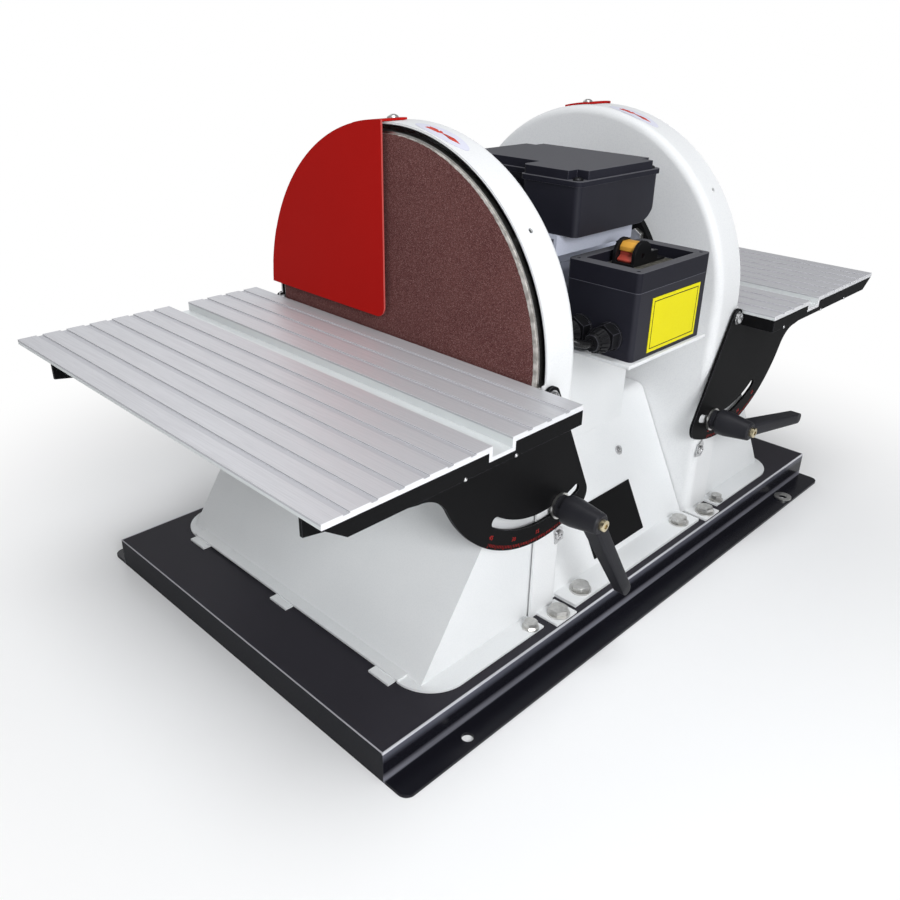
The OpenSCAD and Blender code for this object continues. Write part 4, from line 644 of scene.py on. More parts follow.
def lid_plastic():
    """Box plastic with a rough grey floor inside the lid's sunk part, and a painted highlight on
    its flat top.
    """
    finish = Finish("lid_plastic", Specular_IOR_Level=0.12)
    x, y, z = finish.split(finish.place)
    half_x, half_y = LID_FLOOR_HALF
    edge = 0.2 * MM
    level = (z - LID_FLOOR).size().ramp(0.5 * MM, 0.3 * MM)
    across = (y - LID_MIDDLE_Y).size()
    inside = x.size().ramp(half_x, half_x - edge) * across.ramp(half_y, half_y - edge)
    rough = finish.noise(420.0, 4.0, 0.7).ramp(0.35, 0.7)
    floor_grey = finish.mix(rough, paint(62, 61, 56), paint(112, 109, 100))
    grain = finish.noise(1100.0)
    # Painted highlight: the lid's flat top is painted lighter.
    flat = level_faces(finish, (SWITCH_LID_TOP,))
    outside = finish.mix(flat, paint(*BOX_BLACK), paint(*BOX_LIT_TOP))
    finish.set(Base_Color=finish.mix(level * inside, outside, floor_grey))
    finish.set(Roughness=0.45 + flat * 0.25 + (grain - 0.5) * 0.2)
    finish.bump(grain, 0.06)


ROCKER_PLACE = Vector((2.5, -127.5, 298.5)) * MM
AMBER_FROM = ROCKER_PLACE.z + 2.6 * MM


def rocker_plastic():
    """Amber on the cap of the rocker, and red below it."""
    finish = Finish("rocker_plastic", Specular_IOR_Level=0.35)
    cap = finish.split(finish.place)[2].ramp(AMBER_FROM - 0.1 * MM, AMBER_FROM + 0.1 * MM)
    grain = finish.noise(500.0)
    finish.set(Base_Color=finish.mix(cap, paint(172, 70, 58), paint(226, 166, 66)))
    finish.set(Roughness=0.42 + (grain - 0.5) * 0.1)


lid_plastic()
rocker_plastic()
print("plastics done")

# %% [markdown]
# ## Finishes on the solids
#
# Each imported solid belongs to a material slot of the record. Most finishes have the name of their
# slot. One table gives the others, and a second one names the few solids with a finish of their
# own.

# %% Give every solid its finish
SLOT_FINISH = {
    "powder_white": "white_powder",
    "zinc": "zinc_plate",
    "rotor_iron": "core_iron",
    "box_black": "box_plastic",
    "lever_black": "lever_plastic",
    "rocker_amber": "rocker_plastic",
    "capacitor_can": "bright_steel",
}
OWN_FINISH = {
    "left_housing": "housing_white",
    "right_housing": "housing_white",
    "switch_box_lid": "lid_plastic",
    "top_box_lid": "top_lid_plastic",
    "guard_screws": "zinc_plate",
    "switch_body": "switch_plastic",
    "cable_glands": "switch_plastic",
}


def finish_of(node):
    """The name of a solid's finish: its own, or else that of its slot."""
    slot = slot_of[node]
    return OWN_FINISH.get(node, SLOT_FINISH.get(slot, slot))


def wear(obj, *names):
    """Makes some finishes the only ones on a piece."""
    obj.data.materials.clear()
    for name in names:
        obj.data.materials.append(finishes[name])


for name, solid in nodes.items():
    wear(solid, finish_of(name))
wear(lead, "lead_rubber")
print("dressed", len(nodes), "solids")

# %% [markdown]
# ## Edges that catch the light
#
# No real edge is perfectly sharp: bent sheet has a bend radius, and castings and mouldings have a
# small round. A copy of a solid is merged, its flat faces are joined, and a Bevel modifier rounds
# the edges that are sharper than a limit. Weighted normals then keep the large faces flat. The copy
# stands for the solid, which is hidden. Where a lighter edge finish goes on the rounds, it is a
# painted highlight. The guards are too thin for a round, so their cut edges only get a paler paint,
# also a painted highlight.

# %% Round the edges of the main pieces
MERGE_WITHIN = 0.001 * MM
FLAT_WITHIN = math.radians(0.5)
ROUND_FROM = math.radians(30.0)
GUARD_SHEET = 2.5 * MM


def settle(piece):
    """Turns a piece with modifiers into a plain mesh."""
    bpy.context.view_layer.update()
    evaluated = piece.evaluated_get(bpy.context.evaluated_depsgraph_get())
    plain = bpy.data.meshes.new_from_object(evaluated)
    piece.modifiers.clear()
    piece.data = plain


def smooth(mesh, angle=40.0):
    """Shades a mesh smooth, but keeps edges sharper than an angle."""
    for face in mesh.polygons:
        face.use_smooth = True
    mesh.set_sharp_from_angle(angle=math.radians(angle))


def join_frame(piece, node):
    """Lets a piece ride with a solid's body, in its place, and hides that solid."""
    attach(piece, body_of[node])
    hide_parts(node)


def merged_form(node):
    """A solid's shape with its triangles joined along their edges."""
    form = bmesh.new()
    form.from_mesh(nodes[node].data)
    bmesh.ops.remove_doubles(form, verts=form.verts, dist=MERGE_WITHIN)
    return form


def new_piece(name, form, *finish_names):
    """An object at the origin from a bmesh, which is freed."""
    mesh = bpy.data.meshes.new(name)
    form.to_mesh(mesh)
    form.free()
    for finish in finish_names:
        mesh.materials.append(finishes[finish])
    return show(bpy.data.objects.new(name, mesh))


def rounded_copy(node, width, segments, angle, edge):
    """A copy of a solid with its sharp edges rounded, in the place of that solid.

    Edges sharper than the angle stay hard. An edge finish, a painted highlight, goes on the rounded
    faces only."""
    form = merged_form(node)
    bmesh.ops.dissolve_limit(form, angle_limit=FLAT_WITHIN, verts=form.verts, edges=form.edges)
    piece = new_piece(node + "_finished", form, finish_of(node), *edge)
    bevel = piece.modifiers.new("round", "BEVEL")
    bevel.width = width
    bevel.segments = segments
    bevel.limit_method = "ANGLE"
    bevel.angle_limit = ROUND_FROM
    bevel.material = 1 if edge else -1
    settle(piece)
    smooth(piece.data, angle)
    flat = piece.modifiers.new("flat", "WEIGHTED_NORMAL")
    flat.keep_sharp = True
    flat.weight = 100
    settle(piece)
    join_frame(piece, node)
    return piece


def edged_sheet(node, thick, edge):
    """A copy of an upright sheet, in the place of its solid, with a paler finish on its cut edges
    as a painted highlight.
    """
    form = merged_form(node)
    form.normal_update()
    for face in form.faces:
        xs = [vert.co.x for vert in face.verts]
        face.material_index = int(abs(face.normal.x) < 0.1 and max(xs) - min(xs) < thick)
        face.smooth = False
    piece = new_piece(node + "_finished", form, finish_of(node), edge)
    join_frame(piece, node)
    return piece


# Each edge finish in this table is a painted highlight on the rounds; only the left table has one,
# not the right.
ROUNDS = [
    (0.8, 2, 20, [], ["base_pan"]),
    (0.8, 2, 40, ["box_edge"], ["switch_box", "switch_box_lid", "top_box", "top_box_lid"]),
    (0.3, 1, 20, ["table_edge"], ["left_table"]),
    (0.3, 1, 20, [], ["right_table"]),
    (0.4, 2, 40, [], ["left_housing", "right_housing"]),
    (0.6, 2, 40, [], ["pedestal", "switch_bracket", "switch_body"]),
    (0.6, 2, 40, [], ["flange_bolts", "rear_guide_bolts"]),
    (0.6, 2, 20, ["bracket_edge"], ["left_front_bracket", "right_front_bracket"]),
    (0.6, 2, 20, ["bracket_edge"], ["left_rear_bracket", "right_rear_bracket"]),
    (1.2, 3, 40, [], ["left_lever", "right_lever"]),
    (0.5, 2, 40, ["box_edge"], ["cable_glands"]),
]
for width, segments, angle, edge, members in ROUNDS:
    for node in members:
        rounded = rounded_copy(node, width * MM, segments, angle, edge)
        print(node, "rounded:", len(rounded.data.polygons), "faces")
for node in ("left_guard", "right_guard"):
    edged = edged_sheet(node, GUARD_SHEET, "guard_edge")
    print(node, "edged:", len(edged.data.polygons), "faces")

# %% [markdown]
# ## Geometry Nodes as a class
#
# Screws, bolts, ticks and ridges repeat, so Geometry Nodes make them. Each tree has named inputs
# for its sizes and a finish, and grows on a few seed points. A seed knows its axis, which points
# out of the surface, and the shape that stands on it is drawn along Z with its top or seat at zero.


# %% A shape that grows on points
class Shape(Graph):
    """A Geometry Nodes tree with named sizes."""

    def __init__(self, name, *sizes, counts=()):
        super().__init__(bpy.data.node_groups.new(name, "GeometryNodeTree"))
        self.keys = {}
        geometry = "NodeSocketGeometry"
        self.add_input("Geometry", geometry)
        self.add_input("Finish", "NodeSocketMaterial")
        for size in sizes:
            self.add_input(size, "NodeSocketFloat")
        for count in counts:
            self.add_input(count, "NodeSocketInt")
        self.tree.interface.new_socket("Geometry", in_out="OUTPUT", socket_type=geometry)
        self.start = self.node("NodeGroupInput")
        self.seeds = self.wire(self.start, "Geometry")

    def add_input(self, name, kind):
        socket = self.tree.interface.new_socket(name, in_out="INPUT", socket_type=kind)
        self.keys[name] = socket.identifier

    def size(self, name):
        return self.wire(self.start, name)

    def moved(self, geometry, place=(0, 0, 0), turn=(0, 0, 0)):
        sockets = {"Geometry": geometry, "Translation": place, "Rotation": turn}
        return self.out("GeometryNodeTransform", sockets)

    def drum(self, radius, low, high, sides=32):
        """A cylinder about Z, or a prism where it has few sides."""
        sockets = {"Vertices": sides, "Radius": radius, "Depth": high - low}
        made = self.out("GeometryNodeMeshCylinder", sockets)
        return self.moved(made, self.vector(z=(low + high) * 0.5))

    def cone(self, low_radius, high_radius, low, high):
        """A cone about Z, cut off flat at its top."""
        radii = {"Radius Bottom": low_radius, "Radius Top": high_radius}
        made = self.out("GeometryNodeMeshCone", {"Vertices": 48, **radii, "Depth": high - low})
        return self.moved(made, self.vector(z=low))

    def ball(self, radius, middle):
        made = self.out("GeometryNodeMeshUVSphere", {"Segments": 32, "Rings": 32, "Radius": radius})
        return self.moved(made, self.vector(z=middle))

    def block(self, wide, deep, tall, place=(0, 0, 0), turn=(0, 0, 0)):
        made = self.out("GeometryNodeMeshCube", {"Size": self.vector(wide, deep, tall)})
        return self.moved(made, place, turn)

    def together(self, *parts):
        made = self.node("GeometryNodeJoinGeometry")
        for part in parts:
            self.plug(made.inputs[0], part)
        return self.wire(made)

    def boolean(self, operation, sockets):
        return self.node("GeometryNodeMeshBoolean", sockets, operation=operation, solver="EXACT")

    def common(self, a, b):
        """What two closed shapes share."""
        made = self.boolean("INTERSECT", {1: a})
        self.plug(made.inputs[1], b)
        return self.wire(made)

    def without(self, a, b):
        """One closed shape with another cut out of it."""
        return self.wire(self.boolean("DIFFERENCE", {0: a, 1: b}))

    def ring(self, shape, count, first, step, axis):
        """Copies of a shape about an axis, x, y or z, each turned one step further."""
        points = self.out("GeometryNodeMeshLine", {"Count": count, "Offset": (0, 0, 0)})
        turn = first + step * self.out("GeometryNodeInputIndex")
        return self.copies(points, shape, self.vector(**{axis: turn}))

    def copies(self, points, shape, turn):
        sockets = {"Points": points, "Instance": shape, "Rotation": turn}
        return self.out("GeometryNodeInstanceOnPoints", sockets)

    def on_seeds(self, shape, seed=0):
        """The shape along the axis of every seed, turned by chance where a seed number is given."""
        kind = "GeometryNodeInputNamedAttribute"
        axis = self.out(kind, {"Name": "axis"}, data_type="FLOAT_VECTOR")
        turn = self.out("FunctionNodeAlignRotationToVector", {"Vector": axis}, axis="Z")
        if seed:
            sockets = {3: math.tau, "Seed": seed}
            chance = self.out("FunctionNodeRandomValue", sockets, 1, data_type="FLOAT")
            sockets = {"Rotation": turn, "Rotate By": self.vector(z=chance)}
            turn = self.out("FunctionNodeRotateRotation", sockets, rotation_space="LOCAL")
        return self.copies(self.seeds, shape, turn)

    def close(self, geometry):
        """Ends the tree in real meshes with the finish on them."""
        real = self.out("GeometryNodeRealizeInstances", {"Geometry": geometry})
        sockets = {"Geometry": real, "Material": self.size("Finish")}
        made = self.out("GeometryNodeSetMaterial", sockets)
        self.node("NodeGroupOutput", {"Geometry": made})
        return self

    def grow(self, name, seeds, finish, **sizes):
        """A plain mesh of this shape on seeds, which are pairs of a place and an axis."""
        mesh = bpy.data.meshes.new(name)
        mesh.from_pydata([place for place, _ in seeds], [], [])
        axes = mesh.attributes.new("axis", "FLOAT_VECTOR", "POINT")
        axes.data.foreach_set("vector", [value for _, axis in seeds for value in axis])
        piece = show(bpy.data.objects.new(name, mesh))
        modifier = piece.modifiers.new("shape", "NODES")
        modifier.node_group = self.tree
        modifier[self.keys["Finish"]] = finishes[finish]
        for size, value in sizes.items():
            modifier[self.keys[size.replace("_", " ")]] = value
        settle(piece)
        smooth(piece.data)
        return piece


print("shape class ready")

# %% [markdown]
# ## Finding the fasteners
#
# The solids of the screws and bolts are right in place and size, but their heads are plain. Each
# separate solid of a node is one fastener. Its longest run of symmetry is its axis, and its widest
# end is the head, so the tops can be measured and not typed.


# %% Measure a node's fasteners
def separate_solids(node):
    """The points of each separate solid of a node."""
    form = merged_form(node)
    left = set(form.verts)
    solids = []
    for start in form.verts:
        if start not in left:
            continue
        left.discard(start)
        stack = [start]
        points = []
        while stack:
            vert = stack.pop()
            points.append(vert.co.copy())
            others = [edge.other_vert(vert) for edge in vert.link_edges]
            fresh = [other for other in others if other in left]
            left.difference_update(fresh)
            stack.extend(fresh)
        solids.append(points)
    form.free()
    return solids


def head_seed(points, head_is_widest):
    """The middle of a fastener's head top, with the outward axis and the length."""
    middle = sum(points, Vector()) / len(points)
    cloud = numpy.array([point - middle for point in points])
    spread, ways = numpy.linalg.eigh(cloud.T @ cloud)
    axis = Vector(ways[:, 2] if spread[1] - spread[0] < spread[2] - spread[1] else ways[:, 0])
    heights = [(point - middle).dot(axis) for point in points]
    reach = [(point - middle - axis * height).length for point, height in zip(points, heights)]
    wide = [height for height, away in zip(heights, reach) if away > 0.98 * max(reach)]
    widest_low = sum(wide) / len(wide) < (min(heights) + max(heights)) / 2
    if widest_low == head_is_widest:
        axis = -axis
        heights = [-height for height in heights]
    return middle + axis * max(heights), axis, max(heights) - min(heights)


def seeds_of(node, head_is_widest=True):
    """One head seed for each fastener of a node."""
    return [head_seed(points, head_is_widest) for points in separate_solids(node)]


for place, axis, _ in seeds_of("pan_head_screws"):
    print("screw at", place.to_tuple(4), "along", axis.to_tuple(2))

# %% [markdown]
# ## Hex bolts
#
# The base bolts are zinc hex bolts on flat washers. The corners of a hex head are turned off at
# about 30 degrees, which leaves a bright round on top. A hexagonal prism that shares its space with
# a cone has just that form, and each bolt is tightened to an angle of its own. The bolts of the two
# shrouds are a size smaller.

# %% Base bolts
SHROUD_FROM = 135 * MM
CROWN_SHARE = 0.87
CHAMFER_RUN = 1.732
BOLT_SEED = 7


def in_mm(**sizes):
    """Sizes in millimetres, as the metres of the scene."""
    return {size: value * MM for size, value in sizes.items()}


def hex_bolt_shape():
    shape = Shape("hex_bolt", "Corner", "Head", "Washer", "Washer high", "Shank", "Length")
    head = shape.size("Head")
    seat = shape.size("Washer high") - head
    corner = shape.size("Corner")
    flat = corner * CROWN_SHARE
    hexagon = shape.drum(corner, seat, 0.0, 6)
    chamfer = shape.cone(flat + head * CHAMFER_RUN, flat, 0.0 - head, 0.0)
    crown = shape.common(hexagon, chamfer)
    washer = shape.drum(shape.size("Washer"), 0.0 - head, seat)
    shank = shape.drum(shape.size("Shank"), 0.0 - shape.size("Length"), 0.0 - head)
    return shape.close(shape.on_seeds(shape.together(crown, washer, shank), BOLT_SEED))


base_seeds = seeds_of("base_bolts")
bolt_length = min(length for _, _, length in base_seeds)
hex_bolt = hex_bolt_shape()
BOLT_KINDS = {
    "base_bolts_finished": (False, dict(Corner=8.1, Washer=9.5, Washer_high=1.5)),
    "shroud_bolts_finished": (True, dict(Corner=5.8, Washer=7, Washer_high=1.2)),
}
for name, (on_shroud, sizes) in BOLT_KINDS.items():
    seeds = [seed[:2] for seed in base_seeds if (abs(seed[0].x) > SHROUD_FROM) == on_shroud]
    sizes = in_mm(Head=6, Shank=4, **sizes)
    bolts = hex_bolt.grow(name, seeds, "zinc_plate", Length=bolt_length, **sizes)
    join_frame(bolts, "base_bolts")
    print(name, len(seeds), "bolts at x", sorted({round(place.x, 3) for place, _ in seeds}))

# %% [markdown]
# ## Round-headed screws
#
# Most other visible screws have a low round head with a driving recess: a cross on the top box and
# beside the rocker, and a hexagon socket on the rest. One function draws both, and adds a washer
# and a nut to the bolts of the pivots.

# %% Round-headed screws
SCREW_SEED = 11


def round_screw_shape(name, cross=False, nut=False):
    nut_sizes = ("Washer", "Washer high", "Nut", "Nut high") if nut else ()
    shape = Shape(name, "Head", "High", "Dome", "Recess", "Deep", "Shank", "Length", *nut_sizes)
    high, dome, radius = shape.size("High"), shape.size("Dome"), shape.size("Head")
    ball = (radius * radius + dome * dome) / (dome * 2.0)
    head = shape.common(shape.drum(radius, 0.0 - high, 0.0), shape.ball(ball, 0.0 - ball))
    recess, deep = shape.size("Recess"), shape.size("Deep")
    if cross:
        for turn in (0, math.pi / 2):
            slot = shape.block(recess * 2.0, recess * 0.4, deep * 2.0, turn=(0, 0, turn))
            head = shape.without(head, slot)
    else:
        head = shape.without(head, shape.drum(recess, 0.0 - deep, deep, 6))
    end = 0.0 - shape.size("Length")
    parts = [head, shape.drum(shape.size("Shank"), end, 0.0 - high)]
    if nut:
        low = 0.0 - high - shape.size("Washer high")
        parts.append(shape.drum(shape.size("Washer"), low, 0.0 - high))
        parts.append(shape.drum(shape.size("Nut"), end, end + shape.size("Nut high"), 6))
    return shape.close(shape.on_seeds(shape.together(*parts), SCREW_SEED))


socket_screw = round_screw_shape("socket_screw")
cross_screw = round_screw_shape("cross_screw", cross=True)
socket_bolt = round_screw_shape("socket_bolt", nut=True)


def screws(node, shape, finish, head_is_widest=True, **sizes):
    """Round-headed screws in the place of a node, with sizes in millimetres."""
    found = seeds_of(node, head_is_widest)
    piece = shape.grow(
        node + "_finished",
        [(place, axis) for place, axis, _ in found],
        finish,
        Length=min(length for _, _, length in found),
        **in_mm(**sizes),
    )
    join_frame(piece, node)
    print(node, "finished:", len(found), "screws,", len(piece.data.polygons), "faces")


GUARD_SCREW = dict(Head=4.5, High=3.2, Dome=2.2, Recess=1.7, Deep=1.6, Shank=2.5)
PAN_SCREW = dict(Head=4.4, High=2.6, Dome=1.2, Recess=2.0, Deep=1.6, Shank=2)
LID_SCREW = dict(Head=4, High=2.5, Dome=1.5, Recess=2, Deep=1.3, Shank=2)
LEVER_SCREW = dict(Head=4.5, High=4, Dome=0.6, Recess=2.3, Deep=2.5, Shank=2.5)
PIVOT_BOLT = dict(Head=5, High=4.2, Dome=2.2, Recess=2.2, Deep=2, Shank=4)
PIVOT_NUT = dict(Washer=6, Washer_high=1.2, Nut=6.5, Nut_high=4)
screws("guard_screws", socket_screw, "zinc_plate", **GUARD_SCREW)
screws("pan_head_screws", socket_screw, "bright_steel", **PAN_SCREW)
screws("top_box_screws", cross_screw, "dark_steel", **LID_SCREW)
screws("left_lever_screw", socket_screw, "yellow_zinc", **LEVER_SCREW)
screws("right_lever_screw", socket_screw, "yellow_zinc", **LEVER_SCREW)
screws("pivot_bolts", socket_bolt, "bright_steel", False, **PIVOT_BOLT, **PIVOT_NUT)

# %% [markdown]
# ## Rocker
#
# The switch has an amber cap that overhangs a red flank, and the flank steps out again at its foot.
# The solid is a plain round with two flats, so a finer profile stands in its place. It is a single
# outline pushed straight through between the cheeks, and stays inside the circle that the rocker
# sweeps.

# %% Rocker
ROCKER_HALF = 7.1 * MM
ROCKER_ROUND = 0.4 * MM
ROCKER_SIDE = [(7.6, 3), (7.6, 6.4), (4.6, 9.9)]
ROCKER_FLANK = [(0, -9.5), (6.5, -8), (10.2, -4.6), (10.2, -3.6), (6.4, -0.8), (6.2, 2.2)]


def rocker_outline():
    """The right half of the outline and its mirror image, from the middle of the foot round."""
    right = ROCKER_FLANK + ROCKER_SIDE
    return right + [(-x, z) for x, z in reversed(right) if x]


def make_rocker():
    form = bmesh.new()
    rims = []
    for y in (-ROCKER_HALF, ROCKER_HALF):
        offset = ROCKER_PLACE + Vector((0, y, 0))
        rims.append([form.verts.new(offset + Vector((x, 0, z)) * MM) for x, z in rocker_outline()])
    front, back = rims
    form.faces.new(front)
    form.faces.new(reversed(back))
    for i in range(len(front)):
        form.faces.new((front[i], front[i - 1], back[i - 1], back[i]))
    bmesh.ops.recalc_face_normals(form, faces=form.faces)
    piece = new_piece("switch_rocker_finished", form, "rocker_plastic")
    bevel = piece.modifiers.new("round", "BEVEL")
    bevel.width = ROCKER_ROUND
    bevel.segments = 2
    settle(piece)
    smooth(piece.data, 30.0)
    join_frame(piece, "switch_rocker")
    return piece


print("rocker:", len(make_rocker().data.polygons), "faces")

# %% [markdown]
# ## Tilt scales
#
# A red scale on each front bracket gives the tilt of the table. It has a tick for every degree, a
# longer one for every five, and a number for every fifteen. The ticks are one block that a tree
# turns about the pivot, and the numbers are text turned into thin meshes.

# %% Tilt scales
PIVOT = Vector((136.5, 0, 224)) * MM
SCALE_FACE = -163.2 * MM
SCALE_RADIUS = 114 * MM
NUMBER_RADIUS = 109.5 * MM
SCALE_START = math.radians(-11.5)
SCALE_END = 45
TICK_WIDE = 0.35 * MM
TICK_LONG = {1: 2.2 * MM, 5: 3.4 * MM}
DIGIT_SIZE = 5 * MM
DIGIT_THINNER = 0.08 * MM
INK_HIGH = 0.12 * MM


def tick_shape():
    sizes = ("First", "Step", "Radius", "Long", "Wide", "Thick")
    shape = Shape("scale_ticks", *sizes, counts=("Count",))
    low = shape.vector(z=0.0 - shape.size("Radius") - shape.size("Long") * 0.5)
    tick = shape.block(shape.size("Wide"), shape.size("Thick"), shape.size("Long"), low)
    ticks = shape.ring(tick, shape.size("Count"), shape.size("First"), shape.size("Step"), "y")
    return shape.close(shape.on_seeds(ticks))


def text_mesh(text, size):
    """A thin mesh of some digits, which faces up and is centred on the origin."""
    data = bpy.data.curves.new("digits", "FONT")
    data.body = text
    data.size = size
    data.align_x = "CENTER"
    data.align_y = "CENTER"
    data.extrude = INK_HIGH
    data.offset = -DIGIT_THINNER
    data.resolution_u = 2
    holder = show(bpy.data.objects.new("digits", data))
    bpy.context.view_layer.update()
    evaluated = holder.evaluated_get(bpy.context.evaluated_depsgraph_get())
    mesh = bpy.data.meshes.new_from_object(evaluated)
    bpy.data.objects.remove(holder)
    return mesh


ticks = tick_shape()


def tilt_scale(side, sign):
    """The ticks and numbers on one front bracket; sign is -1 on the left and 1 on the right."""
    pivot = Vector((sign * PIVOT.x, SCALE_FACE, PIVOT.z))
    body = body_of[side + "_table"]
    sizes = dict(Radius=SCALE_RADIUS, Wide=TICK_WIDE, Thick=INK_HIGH * 2, First=-sign * SCALE_START)
    for step, long in TICK_LONG.items():
        sizes.update(Count=SCALE_END // step + 1, Step=-sign * math.radians(step), Long=long)
        piece = ticks.grow(f"{side}_scale_ticks_{step}", [(pivot, (0, 0, 1))], "scale_ink", **sizes)
        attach(piece, body)
    form = bmesh.new()
    upright = Matrix.Rotation(math.pi / 2, 4, "X")
    for degrees in range(0, SCALE_END + 1, 15):
        turn = SCALE_START + math.radians(degrees)
        place = pivot + Vector((sign * math.sin(turn), 0, -math.cos(turn))) * NUMBER_RADIUS
        digits = text_mesh(str(degrees), DIGIT_SIZE)
        stand = Matrix.Translation(place) @ Matrix.Rotation(-sign * turn, 4, "Y")
        digits.transform(stand @ upright)
        form.from_mesh(digits)
    piece = new_piece(side + "_scale_numbers", form, "scale_ink")
    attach(piece, body)
    print(side, "scale:", len(piece.data.polygons), "faces of digits")


tilt_scale("left", -1)
tilt_scale("right", 1)

# %% [markdown]
# ## Turning arrows
#
# An oval sticker on each rim shows which way the disc turns. A film this thin could be painted by
# the material, but a real film catches the light at its edge. Each outline is drawn flat, cut into
# strips, and rolled round the rim.

# %% Turning arrows
RIM_RADIUS = 159 * MM
STICKER_TURN = math.radians(14.65)
STICKER_HALF = (27.5 * MM, 9 * MM)
ARROW_HALF = (19 * MM, 4.4 * MM)
STICKER_PLACES = {"left": -128 * MM, "right": 119 * MM}
PAPER_LIFT, PAPER_THICK = 0.05 * MM, 0.15 * MM
ARROW_LIFT, ARROW_THICK = 0.2 * MM, 0.08 * MM
STRIP = 3 * MM


def oval_outline(half_long, half_wide, points=40):
    turns = [math.tau * i / points for i in range(points)]
    return [(half_long * math.cos(turn), half_wide * math.sin(turn)) for turn in turns]


def arrow_outline(half_long, half_wide):
    """An arrow along its length with a feathered tail, as shares of its half length and width."""
    side = [(1, 0), (0.56, 0.6), (0.64, 0.14), (0, 0.14)]
    for barb in range(3):
        start = -0.28 * barb
        side += [(start - 0.14, 0.62), (start - 0.26, 0.62), (start - 0.22, 0.16)]
    shares = side + [(-0.85, 0)] + [(u, -v) for u, v in reversed(side[1:])]
    return [(half_long * u, half_wide * v) for u, v in shares]


def rolled_film(name, outline, middle_x, lift, thick, finish, slot):
    """A thin film with a flat outline, rolled on the rim of a housing."""
    form = bmesh.new()
    form.faces.new([form.verts.new((u, v, 0)) for u, v in outline])
    bmesh.ops.triangulate(form, faces=form.faces[:])
    reach = max(abs(u) for u, _ in outline)
    cuts = int(reach / STRIP)
    for cut in range(-cuts, cuts + 1):
        all_of_it = form.verts[:] + form.edges[:] + form.faces[:]
        place = (cut * STRIP, 0, 0)
        bmesh.ops.bisect_plane(form, geom=all_of_it, plane_co=place, plane_no=(1, 0, 0))
    radius = RIM_RADIUS + lift
    for vert in form.verts:
        turn = STICKER_TURN + vert.co.x / RIM_RADIUS
        height = SPINDLE_Z + radius * math.cos(turn)
        vert.co = (middle_x + vert.co.y, -radius * math.sin(turn), height)
    form.normal_update()
    inward = [face for face in form.faces if face.normal.z < 0]
    bmesh.ops.reverse_faces(form, faces=inward)
    piece = new_piece(name, form, finish)
    wall = piece.modifiers.new("film", "SOLIDIFY")
    wall.thickness = thick
    wall.offset = 1
    settle(piece)
    smooth(piece.data, 30.0)
    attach(piece, body_of["left_housing"])
    print(name, len(piece.data.polygons), "faces")


for side, middle_x in STICKER_PLACES.items():
    paper = (oval_outline(*STICKER_HALF), middle_x, PAPER_LIFT, PAPER_THICK)
    rolled_film(side + "_sticker", *paper, "sticker_paper", "powder_white")
    arrow = (arrow_outline(*ARROW_HALF), middle_x, ARROW_LIFT, ARROW_THICK)
    rolled_film(side + "_arrow", *arrow, "arrow_ink", "guard_red")

# %% [markdown]
# ## Small fittings
#
# The last details are small: bright weld dots along the lower edge of the table brackets, the grip
# ribs on the nuts of the cable glands, a plain border on the yellow plate, and the bright screw
# beside the rocker.

# %% Weld dots and gland ribs
DOT_PLACE = (-194.4 * MM, 216.6 * MM)
DOTS = {"left": (-213, -260), "right": (166, 246, 302)}
DOT_RADIUS = 1.5 * MM
GLAND_WALLS = [(-51, -150, 247), (-51, -122, 247), (-33, -30, 338)]
RIB_COUNT = 16
RIB_LEAN = -math.atan2(3.5, 11)
RIB_SIZES = dict(Low=15, High=22.5, Radius=8.6, Wide=1.3, Thick=1.6)


def dot_shape():
    shape = Shape("weld_dot", "Radius")
    return shape.close(shape.on_seeds(shape.ball(shape.size("Radius"), 0.0)))


def rib_shape():
    shape = Shape("gland_ribs", "Low", "High", "Radius", "Lean", "Wide", "Thick", counts=("Count",))
    low, high = shape.size("Low"), shape.size("High")
    place = shape.vector(x=shape.size("Radius"), z=(low + high) * 0.5)
    lean = shape.vector(y=shape.size("Lean"))
    rib = shape.block(shape.size("Thick"), shape.size("Wide"), high - low, place, lean)
    ribs = shape.ring(rib, shape.size("Count"), 0.0, math.tau / RIB_COUNT, "z")
    return shape.close(shape.on_seeds(ribs))


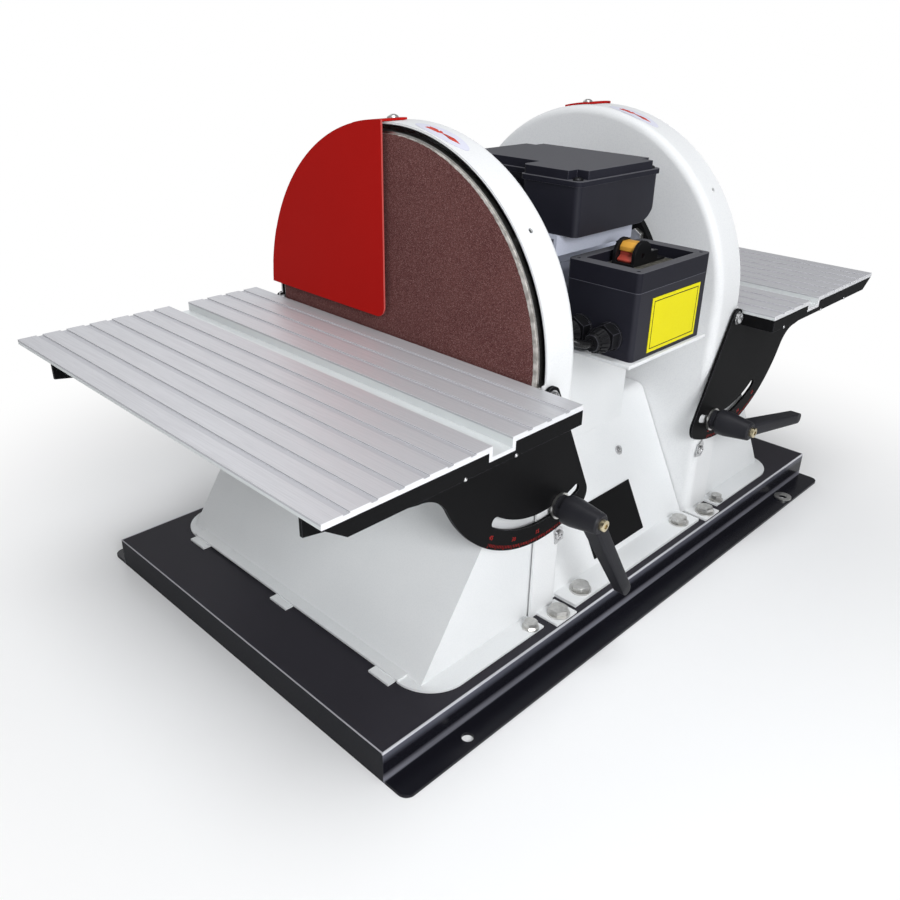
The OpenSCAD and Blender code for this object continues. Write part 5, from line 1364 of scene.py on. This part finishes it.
dots = dot_shape()
for side, places in DOTS.items():
    seeds = [((x * MM, *DOT_PLACE), (0, -1, 0)) for x in places]
    piece = dots.grow(side + "_bracket_dots", seeds, "bright_steel", Radius=DOT_RADIUS)
    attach(piece, body_of[side + "_front_bracket"])
gland_seeds = [(Vector(wall) * MM, (-1, 0, 0)) for wall in GLAND_WALLS]
rib_sizes = dict(Count=RIB_COUNT, Lean=RIB_LEAN, **in_mm(**RIB_SIZES))
ribs = rib_shape().grow("gland_ribs", gland_seeds, "switch_plastic", **rib_sizes)
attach(ribs, body_of["cable_glands"])
print("gland ribs:", len(ribs.data.polygons), "faces")

# %% Plate border and switch screw
BORDER_IN = 2.6 * MM
BORDER_WIDE = 0.7 * MM
BORDER_OUT = 0.08 * MM
BORDER_SUNK = 0.1 * MM
SWITCH_SCREW_PLACE = Vector((31, -127.5, 298)) * MM
SWITCH_SCREW = dict(Head=3.1, High=5, Dome=0.6, Recess=1.5, Deep=1, Shank=2, Length=6)


def block_form(form, low, high):
    """Adds a block between two corners to a bmesh."""
    size = Vector(high) - Vector(low)
    place = Matrix.Translation((Vector(low) + Vector(high)) / 2) @ Matrix.Diagonal((*size, 1))
    bmesh.ops.create_cube(form, size=1, matrix=place)


def plate_border():
    low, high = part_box("label_plate")
    x0, x1 = low.x + BORDER_IN, high.x - BORDER_IN
    y0, y1 = low.y - BORDER_OUT, low.y + BORDER_SUNK
    z0, z1 = low.z + BORDER_IN, high.z - BORDER_IN
    form = bmesh.new()
    for z in (z0, z1 - BORDER_WIDE):
        block_form(form, (x0, y0, z), (x1, y1, z + BORDER_WIDE))
    for x in (x0, x1 - BORDER_WIDE):
        block_form(form, (x, y0, z0 + BORDER_WIDE), (x + BORDER_WIDE, y1, z1 - BORDER_WIDE))
    return new_piece("label_border", form, "plate_black")


border = plate_border()
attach(border, body_of["label_plate"])
seeds = [(SWITCH_SCREW_PLACE, (0, 0, 1))]
switch_screw = cross_screw.grow("switch_side_screw", seeds, "bright_steel", **in_mm(**SWITCH_SCREW))
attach(switch_screw, body_of["switch_body"])
print("border:", len(border.data.polygons), "faces")
